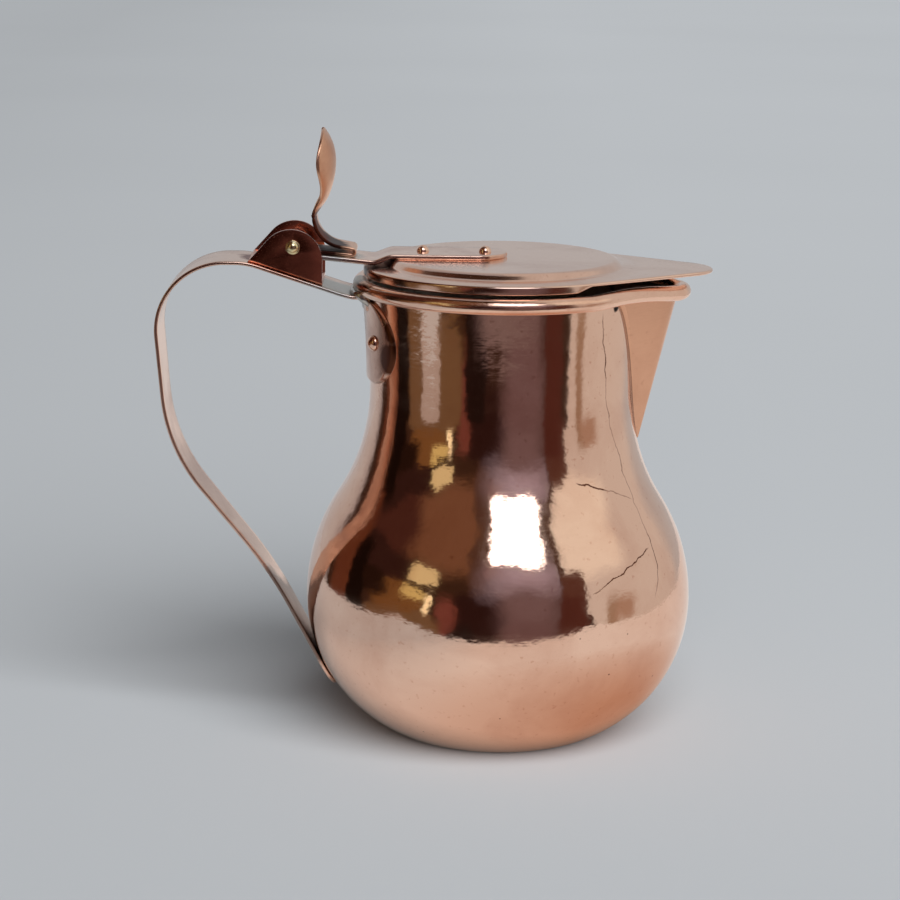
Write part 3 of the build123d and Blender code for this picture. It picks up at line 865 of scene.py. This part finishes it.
# Hinge bracket
# A folded piece of copper brazed on the strap, its two cheeks hold the pin. It is the frame's own
# bracket with its flat faces made whole and its edges filed round.
EDGE_FILED = 0.25
cheeks = frame["nodes"]["hinge_bracket"].copy()
cheeks.data = cheeks.data.copy()
cheeks.name = "hinge_cheeks"
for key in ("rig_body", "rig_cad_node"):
    if key in cheeks:
        del cheeks[key]
cheeks.parent = None
bpy.context.scene.collection.objects.link(cheeks)
made = bmesh.new()
made.from_mesh(cheeks.data)
bmesh.ops.remove_doubles(made, verts=made.verts, dist=1e-6)
bmesh.ops.dissolve_limit(made, angle_limit=radians(0.4), verts=made.verts, edges=made.edges)
made.to_mesh(cheeks.data)
made.free()
# Copper left red-brown by the brazing heat and only wiped over
reddened = metal(
    "reddened_copper", lines="along", bright="#CE866A", tarnished="#5A2A1E", tarnish=0.95, gloss=0.15
)
cheeks.data.materials.clear()
cheeks.data.materials.append(reddened)
filed = {"width": MM * EDGE_FILED, "segments": 3, "limit_method": "ANGLE", "angle_limit": radians(40)}
fit(modified(cheeks, "BEVEL", **filed), "jug", "copper", "hinge_bracket")

# Hinge pin
# A brass pin cut from drawn rod, through both cheeks and the knuckle. Its ends are hammered to
# low domes, each inside a ring.
PIN = (-71.8, 171.2)
PIN_RADIUS = 1.95
PIN_HEAD_RADIUS = 2.45
PIN_DOME = 1.3
PIN_RING = 0.55
PIN_RING_RISE = 0.4
CHEEK_HALF = 12.5
# Drawn brass, yellow against the copper, rubbed along its length
brass = metal("brass", lines="along", bright="#EDE2B8", tarnished="#A98A4C", tarnish=0.4, gloss=0.14)


def dome_line(radius, height, count):
    """Points of a cap from its rim to its top, as (radius, height)."""
    ball = (radius**2 + height**2) / (2 * height)
    turn = asin(min(radius / ball, 1)) if height <= radius else pi - asin(radius / ball)
    return arc((0, height - ball), ball, pi / 2 - turn, pi / 2, count)


def turned(name, line, sides, place, *materials):
    """A closed piece turned from a line of (radius, height) points, put in place by a function."""
    turns = np.linspace(0, 2 * pi, sides, endpoint=False)
    rings = [[place(r * cos(a), r * sin(a), height) for a in turns] for r, height in line[1:-1]]
    return shell(name, rings, place(0, 0, line[0][1]), place(0, 0, line[-1][1]), *materials)


half_pin = [
    (PIN_RADIUS, 0.0),
    (PIN_RADIUS, CHEEK_HALF - 0.2),
    (PIN_HEAD_RADIUS, CHEEK_HALF),
    (PIN_HEAD_RADIUS, CHEEK_HALF + PIN_RING_RISE * 0.6),
    (PIN_HEAD_RADIUS - PIN_RING * 0.3, CHEEK_HALF + PIN_RING_RISE),
]
dome = dome_line(PIN_HEAD_RADIUS - PIN_RING, PIN_DOME - PIN_RING_RISE, 10)
half_pin += [(r, CHEEK_HALF + PIN_RING_RISE * 0.8 + h) for r, h in dome]
pin_outline = [(r, -h) for r, h in half_pin[:0:-1]] + half_pin
pin = turned("hinge_pin_brass", pin_outline, 40, lambda a, b, h: (PIN[0] + a, -h, PIN[1] + b), brass)
fit(pin, "jug", "brass_pin", "hinge_pin")

# Rivets
# Copper rivets with peened round heads: two in the tongue, one in the handle's foot and two in
# the lid's strap. Their tails are small discs inside.
RIVET_TAIL = 0.6
TONGUE_RIVET = {"radius": 1.6, "head_radius": 2.8, "head_dome": 2.0}
TONGUE_RIVET_TURN = 21.3
TONGUE_RIVET_HEIGHT = 139.4
FOOT_RIVET = {"radius": 1.3, "head_radius": 2.3, "head_dome": 1.2}
FOOT_RIVET_HEIGHT = 21.0

sizes = {"Head": "Object", "Unevenness": "Float", "Material": "Material"}
riveting, add, given = new_tree("rivets", sizes)
head = add("GeometryNodeObjectInfo", given["Head"]).outputs["Geometry"]
facing = add("GeometryNodeInputNamedAttribute", {"Name": "facing"}, data_type="FLOAT_VECTOR")
facing = add("FunctionNodeAlignRotationToVector", {"Vector": facing}, axis="Z")
heads = {"Points": given["Geometry"], "Instance": head, "Rotation": facing}
real = add("GeometryNodeRealizeInstances", add("GeometryNodeInstanceOnPoints", heads))
dents = add("TexNoise", {"Scale": 900.0, "Detail": 1.0}).outputs["Color"]
dents = add("VectorMath SUBTRACT", dents, (0.5, 0.5, 0.5))
dents = add("VectorMath SCALE", dents, {"Scale": given["Unevenness"]})
real = add("GeometryNodeSetPosition", real, {"Offset": dents})
finish_tree(add, real, given["Material"])


def rivets(name, places, depth, body, node, radius, head_radius, head_dome):
    """Rivets at these places, each a point on the outer sheet and the way its head faces."""
    tail = -depth - RIVET_TAIL
    line = [(0.0, tail), (head_radius * 0.85, tail), (head_radius, -depth - RIVET_TAIL * 0.6)]
    line += [(head_radius, -depth), (radius, -depth), (radius, -0.1), (head_radius, -0.1)]
    line += dome_line(head_radius, head_dome, 10)
    pattern = turned("rivet_pattern", line, 28, lambda a, b, h: (a, b, h))
    smooth(pattern)
    points = plain_mesh(name, [place for place, facing in places], [], planished_copper)
    facing = points.data.attributes.new("facing", "FLOAT_VECTOR", "POINT")
    facing.data.foreach_set("vector", [c for place, way in places for c in way])
    made = grow(points, riveting, Head=pattern, Unevenness=MM * 0.25, Material=planished_copper)
    bpy.data.objects.remove(pattern)
    fit(made, body, "copper_rivets", node)


tongue_places = []
for turn in (180 - TONGUE_RIVET_TURN, 180 + TONGUE_RIVET_TURN):
    way = np.array([cos(radians(turn)), sin(radians(turn)), 0.0])
    reach = vessel_radius(TONGUE_RIVET_HEIGHT) + STRAP
    tongue_places.append((way * reach + (0, 0, TONGUE_RIVET_HEIGHT), way))
rivets("tongue_rivets_peened", tongue_places, WALL + STRAP, "jug", "tongue_rivets", **TONGUE_RIVET)
foot_slope = asin((BELLY_HEIGHT - FOOT_RIVET_HEIGHT) / LOWER_ARC)
foot_way = np.array([-cos(foot_slope), 0.0, -sin(foot_slope)])
foot_at = foot_way * STRAP + (-vessel_radius(FOOT_RIVET_HEIGHT), 0.0, FOOT_RIVET_HEIGHT)
rivets("foot_rivet_peened", [(foot_at, foot_way)], WALL + STRAP, "jug", "foot_rivet", **FOOT_RIVET)

# Lid
# One sheet with a raised flat middle, its edge turned down all round but at the beak, which
# covers the lip.
LID = 1.2
LID_RADIUS = 48.1
LID_EDGE_BOTTOM = 161.1
LID_EDGE_TOP = 164.2
EDGE_BEND = 0.7
LID_HEM = 0.48
# The hem starts this many radians before the beak's flank and is full after this many
HEM_START = 0.02
HEM_FADE = 0.12
HEM_LAP = 0.02
FLANGE_INSET = 1.4
FLANGE_LIFT = 0.12
FLANGE_RISE = 0.8
PLATEAU_RADIUS = 38.9
PLATEAU_RISE = 2.2
PLATEAU_STEP = 2.2
PLATEAU_BEND = 2.4
PLATEAU_TOP = LID_EDGE_TOP + FLANGE_RISE + PLATEAU_RISE
BEAK_TIP_REACH = 72.25
BEAK_TIP_RADIUS = 14.0
BEAK_CENTRE = BEAK_TIP_REACH - BEAK_TIP_RADIUS
BEAK_TURN = acos((LID_RADIUS - BEAK_TIP_RADIUS) / BEAK_CENTRE)
# Sheet copper turned and polished in circles, with a painted shadow under the strap's crank by the hinge
lid_copper = metal(
    "lid_copper",
    lines="flat",
    bright="#F3CFBB",
    tarnished="#B9866E",
    tarnish=0.35,
    gloss=0.14,
    # Painted shadow under the strap's crank
    spots=(((-42, -9, 165), 7.5, "#3A1E16"),),
)


def lid_reach(turn):
    """Distance from the axis to the lid's edge, at a turn from 0 at the beak's tip to pi."""
    if turn >= BEAK_TURN:
        return LID_RADIUS
    tangent = np.array([cos(BEAK_TURN), sin(BEAK_TURN)])
    tip_start = np.array([BEAK_CENTRE, 0]) + BEAK_TIP_RADIUS * tangent
    if turn > atan2(tip_start[1], tip_start[0]):
        return LID_RADIUS / cos(BEAK_TURN - turn)
    return BEAK_CENTRE * cos(turn) + sqrt(BEAK_TIP_RADIUS**2 - (BEAK_CENTRE * sin(turn)) ** 2)


def lid_section(turn):
    """Section of the lid in a direction, out over the top, round the edge and back underneath."""
    turn = abs((turn + pi) % (2 * pi) - pi)
    edge = lid_reach(turn)
    turned_down = min(max((turn - BEAK_TURN + HEM_START) / HEM_FADE, 0), 1)
    under_top = LID_EDGE_TOP - LID
    bottom = under_top - HEM_LAP + (LID_EDGE_BOTTOM - under_top + HEM_LAP) * turned_down
    flange_start = (PLATEAU_RADIUS + PLATEAU_STEP, PLATEAU_TOP - PLATEAU_RISE)
    last = (LID_RADIUS - FLANGE_INSET, LID_EDGE_TOP + FLANGE_LIFT)
    corners = [(0.0, PLATEAU_TOP), (PLATEAU_RADIUS, PLATEAU_TOP), flange_start, last]
    over = rounded_line(corners, [PLATEAU_BEND + LID / 2, PLATEAU_BEND - LID / 2], 2.0)[1:]
    inner_corner = (edge - LID - 0.5, under_top)
    return [
        *over,
        *np.linspace(last, (edge - EDGE_BEND, LID_EDGE_TOP), 8)[1:],
        *arc((edge - EDGE_BEND, LID_EDGE_TOP - EDGE_BEND), EDGE_BEND, pi / 2, 0, 6)[1:],
        *arc((edge - LID_HEM, bottom + LID_HEM), LID_HEM, 0, -pi, 7),
        (edge - LID, max(bottom + LID_HEM, under_top - 0.1)),
        inner_corner,
        *np.linspace(inner_corner, (last[0], last[1] - LID), 7)[1:-1],
        *((r, z - LID) for r, z in reversed(over)),
    ]


lid_turns = np.linspace(0, 2 * pi, 240, endpoint=False)
lid_sections = [[(r * cos(turn), r * sin(turn), z) for r, z in lid_section(turn)] for turn in lid_turns]
lid_middles = [(0, 0, PLATEAU_TOP), (0, 0, PLATEAU_TOP - LID)]
fit(shell("lid_sheet", list(zip(*lid_sections)), *lid_middles, lid_copper), "cover", "copper", "lid")

# Lid strap
# A thicker strip of copper riveted along the lid, cranked down over its edge and rolled round
# the pin, on which it turns.
LID_STRAP = 1.6
STRAP_TIP = 1.0
CRANK_REACH = 38.8
CRANK_RUN = 5.4
CRANK_DROP = 2.2
CRANK_BEND = 6.0
KNUCKLE_ARC = PIN_RADIUS + 0.06 + LID_STRAP / 2
KNUCKLE_WRAP = 285.0
LID_STRAP_HALF = 10.8
LID_RIVET = {"radius": 1.3, "head_radius": 2.2, "head_dome": 2.1}
LID_RIVET_REACHES = (27.7, 6.3)

# Behind the crank a straight run touches the roll round the pin
level = PLATEAU_TOP + LID_STRAP / 2
foot = np.array([-(CRANK_REACH + CRANK_RUN), level - CRANK_DROP])
towards = np.array(PIN) - foot
span = np.linalg.norm(towards)
turn = atan2(towards[1], towards[0]) + asin(KNUCKLE_ARC / span)
way = np.array([cos(turn), sin(turn)])
touch = foot + way * sqrt(span**2 - KNUCKLE_ARC**2)
cranked = [(STRAP_TIP, level), (-CRANK_REACH, level), foot, touch]
cranked = rounded_line(cranked, [CRANK_BEND, CRANK_BEND], 1.2)
tip_steps = LID_STRAP_HALF * (1 - np.cos(np.linspace(0, pi / 2, 14)))
strap_line = [(STRAP_TIP - 0.02 - s, level) for s in tip_steps[:-1]]
strap_line += [p for p in cranked if p[0] < STRAP_TIP - LID_STRAP_HALF]
roll_start = turn + pi / 2
strap_line += arc(PIN, KNUCKLE_ARC, roll_start, roll_start - radians(KNUCKLE_WRAP), 40)[1:]


def lid_strap_half(middle):
    """Half of the strap's width, round at its tip on the lid."""
    before_round = max(LID_STRAP_HALF - (STRAP_TIP - middle[0]), 0)
    return max(sqrt(max(LID_STRAP_HALF**2 - before_round**2, 0)), 0.3)


# Sheet copper rubbed along the strap, wiped with tin at the crank and dark at the knuckle
lid_strap_copper = metal(
    "lid_strap_copper",
    lines="along",
    bright="#F3CDB8",
    tarnished="#A9705A",
    tarnish=0.6,
    gloss=0.16,
    spots=(((-58, -3, 166.5), 11, "#BFBDB8"), ((-71, 0, 171), 9, "#4A2A22")),
)
strap = strip("lid_strap_bent", strap_line, lid_strap_half, LID_STRAP, lid_strap_copper)
fit(strap, "cover", "copper", "lid_strap")
lid_places = [((-reach, 0.0, PLATEAU_TOP + LID_STRAP), (0.0, 0.0, 1.0)) for reach in LID_RIVET_REACHES]
rivets("lid_rivets_peened", lid_places, LID + LID_STRAP, "cover", "lid_rivets", **LID_RIVET)

# Thumbpiece
# A strip folded back under itself as a foot on the lid's strap, rising in a stem that spreads
# into a rounded leaf, hollowed like a spoon towards the back.
LEAF = 1.2
FOOT_END = 66.0
NOSE_REACH = 51.0
NOSE_ARC = 1.0
STEM_REACH = 65.0
HEEL_HEIGHT = 172.3
HEEL_ARC = 10.5
STEM_TOP = 180.0
LEAN_HEIGHT = 187.0
CURL_HEIGHT = 185.0
BULGE_REACH = 58.25
BULGE_HEIGHT = 199.5
LEAF_LOWER_ARC = 30.0
LEAF_UPPER_ARC = 17.0
LEAF_CROSS_ARC = 17.0
LEAF_HALF_WIDTH = 12.4
LEAF_HALF_HEIGHT = 10.95
WAIST_HALF = 7.5
WAIST_HEIGHT = 184.5


def foot_point(reach):
    """Middle of the thumbpiece's lowest sheet, lying on the lid strap."""
    lift = (LID_STRAP + LEAF) / 2 / abs(way[0])
    return np.array([-reach, foot[1] + (-reach - foot[0]) * way[1] / way[0] + lift])


def leaf_front(height):
    """X of the leaf's front face: out of the upright stem, then two arcs."""
    if height < LEAN_HEIGHT:
        rise = LEAN_HEIGHT - STEM_TOP
        part = (height - STEM_TOP) / rise
        from_bulge = BULGE_HEIGHT - LEAN_HEIGHT
        lean = from_bulge / sqrt(LEAF_LOWER_ARC**2 - from_bulge**2)
        start = -STEM_REACH + LEAF / 2
        blend = part**2 * (3 - 2 * part)
        return start + (leaf_front(LEAN_HEIGHT) - start) * blend + lean * rise * part**2 * (part - 1)
    arc = LEAF_LOWER_ARC if height < BULGE_HEIGHT else LEAF_UPPER_ARC
    return -BULGE_REACH + LEAF / 2 - arc + sqrt(arc**2 - (height - BULGE_HEIGHT) ** 2)


def leaf_half(middle):
    """Half of the thumbpiece's width: even in foot and stem, then the leaf."""
    height = middle[1]
    if height < STEM_TOP:
        return WAIST_HALF
    if height > BULGE_HEIGHT:
        part = min((height - BULGE_HEIGHT) / LEAF_HALF_HEIGHT, 1)
        return max(LEAF_HALF_WIDTH * sqrt(1 - part**2), 0.4)
    part = (BULGE_HEIGHT - height) / (BULGE_HEIGHT - WAIST_HEIGHT)
    swell = (1 + cos(pi * min(part, 1))) / 2
    return WAIST_HALF + (LEAF_HALF_WIDTH - WAIST_HALF) * swell


def leaf_sag(y, middle):
    """How far the leaf's sides bend back from its middle."""
    part = min(max((middle[1] - STEM_TOP) / (CURL_HEIGHT - STEM_TOP), 0), 1)
    return (LEAF_CROSS_ARC - sqrt(LEAF_CROSS_ARC**2 - y**2)) * part


nose = foot_point(NOSE_REACH)
nose_top = nose + (0, 2 * NOSE_ARC)
leaf_corners = [foot_point(FOOT_END), nose, nose_top, (-STEM_REACH, HEEL_HEIGHT), (-STEM_REACH, STEM_TOP)]
leaf_line = rounded_line(leaf_corners, [0.97 * NOSE_ARC, 0.97 * NOSE_ARC, HEEL_ARC], 1.0)
leaf_top = BULGE_HEIGHT + LEAF_HALF_HEIGHT
leaf_heights = STEM_TOP + (leaf_top - STEM_TOP) * np.sin(np.linspace(0, pi / 2, 46))[1:]
leaf_line += [(leaf_front(z) - LEAF / 2, z) for z in leaf_heights]
# Satin copper, rubbed by thumbs, with painted shadow under the heel and darker low on the stem, by the
# hinge
thumb_copper = metal(
    "thumb_copper",
    lines="along",
    bright="#EDBC9C",
    tarnished="#A8644A",
    tarnish=0.6,
    gloss=0.28,
    # Painted shadow under the heel, then darker low on the stem
    spots=(((-61, -2, 170), 10, "#3A201A"), ((-66, -3, 178), 8, "#6A3A2C")),
)
thumb = strip("thumbpiece_leaf", leaf_line, leaf_half, LEAF, thumb_copper, across=13, sag=leaf_sag)
fit(thumb, "cover", "copper", "thumbpiece")

# Floor, room and light
# A pale paper floor under soft daylight. The polished copper mirrors what stands before it: the
# floor's front edge, a dark room with one tall window, and a pale wall on the right.
FLOOR_FRONT = -250.0
FLOOR_LEFT = -480.0
FLOOR_RIGHT = 360.0
FAR = 60000.0


def paper(name, colour, *shades):
    """Matt paper with a faint mottling. Each shade over it grows from one distance to another, up
    to its share of a colour. The distance is from a point or, without one, along X."""
    material, add = new_material(name)
    place = add("TexCoord").outputs["Object"]
    pale = linear(colour)
    mottled = add("TexNoise", place, {"Scale": 1.6, "Detail": 2.0})
    dim = [c * 0.94 for c in pale[:3]] + [1.0]
    mixed = add("Mix", {"Factor": mottled, 6: pale, 7: dim}, data_type="RGBA")
    for point, start, full, shade, share in shades:
        if point:
            point = (MM * point[0], MM * point[1], 0.0)
            away = add("VectorMath DISTANCE", place, point).outputs["Value"]
        else:
            away = add("SeparateXYZ", place).outputs["X"]
        mask = add("MapRange", away, MM * start, MM * full, 0.0, share)
        mixed = add("Mix", {"Factor": mask, 6: mixed.outputs[2], 7: linear(shade)}, data_type="RGBA")
    finish = {"Base Color": mixed.outputs[2], "Roughness": 0.9, "Specular IOR Level": 0.0}
    add("OutputMaterial", add("BsdfPrincipled", finish))
    return material


# Pale grey paper, matt, on which the daylight falls off towards the left
floor_paper = paper("floor_paper", "#CACED2", (None, 150, -600, "#000000", 0.17))
floor_corners = [(-FAR, -FAR, -0.1), (FAR, -FAR, -0.1), (FAR, FAR, -0.1), (-FAR, FAR, -0.1)]
floor = plain_mesh("floor", floor_corners, [(0, 1, 2, 3)], floor_paper)
floor.visible_glossy = False
floor.visible_shadow = False
# The paper as the copper mirrors it: it ends at a front edge, with painted warm light from the
# copper near the jug and painted shade on the left, and a faint light of its own so that the
# jug's shadow isn't black in it
mirrored_paper = paper(
    "mirrored_paper", "#F4F0ED", ((44, -24), 120, 20, "#CDA288", 1.0), (None, -20, -160, "#C6CBD0", 1.0)
)
shader = mirrored_paper.node_tree.nodes["Principled BSDF"].inputs
shader["Emission Color"].default_value = linear("#B0AAA8")
shader["Emission Strength"].default_value = 0.12
mirrored_edge = [(FLOOR_LEFT, FLOOR_FRONT - 30), (0, FLOOR_FRONT), (FLOOR_RIGHT, FLOOR_FRONT + 10)]
mirrored_points = [(x, y, -0.2) for x, y in [*mirrored_edge, (FLOOR_RIGHT, FAR), (FLOOR_LEFT, FAR)]]
mirrored = plain_mesh("mirrored_floor", mirrored_points, [(0, 1, 2, 3, 4)], mirrored_paper)
mirrored.visible_camera = False
mirrored.visible_diffuse = False
mirrored.visible_shadow = False

# What the copper mirrors, as soft-edged patches: side to side and up and down in degrees from
# the camera's side, half sizes, softness, colour and strength
ROOM = {
    "brown wall": (-50, 44, 64, 20, 12, "#6E4E3A", 1.0),
    "far end of the wall": (-90, 36, 24, 28, 16, "#432720", 1.0),
    "shelf": (-84, 19, 30, 8, 5, "#2F1C18", 1.0),
    "panel": (-64, 4, 18, 8, 3, "#70502F", 1.0),
    "doorway": (-86, 8, 13, 6, 3, "#22140E", 1.0),
    "post": (-15, 40, 6, 26, 6, "#4C362C", 1.0),
    "table front": (-62, -12, 27, 10, 2, "#6B543C", 1.0),
    "white cloth": (-65, -13, 9, 8, 1, "#A79F9B", 1.0),
    "near corner": (-110, 2, 9, 28, 4, "#5A3424", 1.0),
    "dark corner": (-97, -2, 7, 24, 2, "#150C08", 1.0),
    "lamp": (-49, 20, 10.5, 5, 1.2, "#CFC394", 1.0),
    "brass tray": (-53, 9, 7.5, 3, 2, "#C9B878", 1.0),
    "brass pull": (-43, 4, 2.4, 7, 1.6, "#F4EAC0", 1.2),
    "red cloth": (-31, -4, 5, 13, 3, "#6E4038", 1.0),
    "black chair": (-12, 0, 15, 15, 5, "#2A1815", 1.0),
    "chair seat": (-23, -16, 9, 9, 3, "#1E1310", 1.0),
    "window glow": (18, 23, 21, 9, 17, "#A8A0B4", 1.0),
    "low glow": (19, 4, 17, 14, 18, "#705F64", 1.0),
    "under the window": (18, -13, 16, 9, 7, "#6A575B", 1.0),
    "near table": (4, -22, 24, 4, 3, "#786A6C", 1.0),
    "window": (12, 47, 21.5, 16, 1.4, "#F4F7FF", 3.2),
    "pale wall": (118, 30, 63.5, 62, 2, "#CAC6C2", 1.0),
    "sunlit wall": (66, 38, 25, 21, 12, "#E6E3DA", 1.0),
    "curtain": (40.5, 38, 2.4, 26, 2, "#4A332B", 0.9),
    "armchair back": (47, 13, 7.5, 11, 2, "#56382F", 1.0),
    "armchair": (45, -9, 9.5, 19, 2, "#4E2C25", 1.0),
    "streak": (71, -10, 4, 13, 3, "#98826F", 1.0),
    "side table": (80, -3, 8, 5, 5, "#A89080", 1.0),
    "pale corner": (-156, 30, 28, 70, 6, "#A4A3A8", 1.0),
    "paper behind": (166, 14, 34, 34, 14, "#B7B9BB", 1.0),
    "paper behind left": (-166, 14, 34, 34, 14, "#B7B9BB", 1.0),
}
world = bpy.data.worlds.new("studio")
world.use_nodes = True
world.cycles.sampling_method = "NONE"
world.node_tree.nodes.clear()
add = adder(world.node_tree)
way_out = add("TexCoord").outputs["Generated"]
overhead = add("SeparateXYZ", way_out).outputs["Z"]
# Two sizes of noise make the patches' edges ragged
for coarse, sway in ((4.0, 0.16), (17.0, 0.07)):
    ragged = add("TexNoise", way_out, {"Scale": coarse, "Detail": 3.0}).outputs["Color"]
    ragged = add("VectorMath SUBTRACT", ragged, (0.5, 0.5, 0.5))
    ragged = add("VectorMath SCALE", ragged, {"Scale": sway})
    way_out = add("VectorMath ADD", way_out, ragged)
way_out = add("VectorMath NORMALIZE", way_out)
axes = add("SeparateXYZ", way_out).outputs
towards = add("Math MULTIPLY", axes["Y"], -1.0)
sideways = add("Math ARCTAN2", axes["X"], towards)
sideways = add("Math DEGREES", sideways)
upwards = add("Math ARCSINE", axes["Z"])
upwards = add("Math DEGREES", upwards)
seen = linear("#37251B")
for side, rise, half_side, half_rise, soft, colour, strength in ROOM.values():
    # Rounded rectangles: the fourth powers of the two shares of the half sizes
    powers = []
    for angle, middle, half in ((sideways, side, half_side), (upwards, rise, half_rise)):
        off = add("Math SUBTRACT", angle, middle)
        off = add("Math DIVIDE", off, half)
        off = add("Math ABSOLUTE", off)
        powers.append(add("Math POWER", off, 4.0))
    both = add("Math ADD", *powers)
    both = add("Math POWER", both, 0.25)
    blur = soft / 2 / min(half_side, half_rise)
    mask = add("MapRange", both, 1 + blur, 1 - blur, interpolation_type="SMOOTHSTEP")
    paint = [c * strength for c in linear(colour)[:3]] + [1.0]
    seen = add("Mix", {"Factor": mask, 6: seen, 7: paint}, data_type="RGBA").outputs[2]
# The copper mirrors the room, matt things are lit by a dim sky, brightest overhead, and the camera
# sees a plain grey backdrop
ray = add("LightPath").outputs
daylight = add("MapRange", overhead, 0.0, 1.0, 0.0, 0.15)
daylight = add("Background", linear("#D9DCDF"), daylight)
either = add("MixShader", ray["Is Glossy Ray"], daylight, add("Background", seen, 1.0))
backdrop = add("Background", linear("#C0C1C4"), 1.0)
either = add("MixShader", ray["Is Camera Ray"], either, backdrop)
add("OutputWorld", either)
bpy.context.scene.world = world

# Low daylight from the window side, wide enough for soft shadows to the left and behind
LIGHT_WIDTH = 56
LIGHT_STRENGTH = 4.1
LIGHT_SIDE = radians(23)
LIGHT_RISE = radians(37)
soft_light = bpy.data.lights.new("soft_light", "SUN")
soft_light.angle = radians(LIGHT_WIDTH)
soft_light.energy = LIGHT_STRENGTH
light = new_object("soft_light", soft_light)
light_from = (cos(LIGHT_RISE) * sin(LIGHT_SIDE), -cos(LIGHT_RISE) * cos(LIGHT_SIDE), sin(LIGHT_RISE))
light.rotation_euler = Vector(light_from).to_track_quat("Z", "Y").to_euler()
light.visible_glossy = False

# Camera
# At the photograph's viewing angle, a little above the lid and looking down, so placed that the
# jug's outline falls on the one in the photograph.
CAMERA_PLACE = (-17.49, -955.87, 309.21)
CAMERA_TILT = 77.58
CAMERA_ROLL = 0.73
lens = bpy.data.cameras.new("camera")
lens.sensor_width = 36.0
lens.lens = 112.0
camera = new_object("camera", lens)
camera.matrix_world = (
    Matrix.Translation(Vector(CAMERA_PLACE) * MM)
    @ Matrix.Rotation(radians(CAMERA_TILT), 4, "X")
    @ Matrix.Rotation(radians(CAMERA_ROLL), 4, "Z")
)
bpy.context.scene.camera = camera
bpy.context.scene.view_settings.view_transform = "Standard"
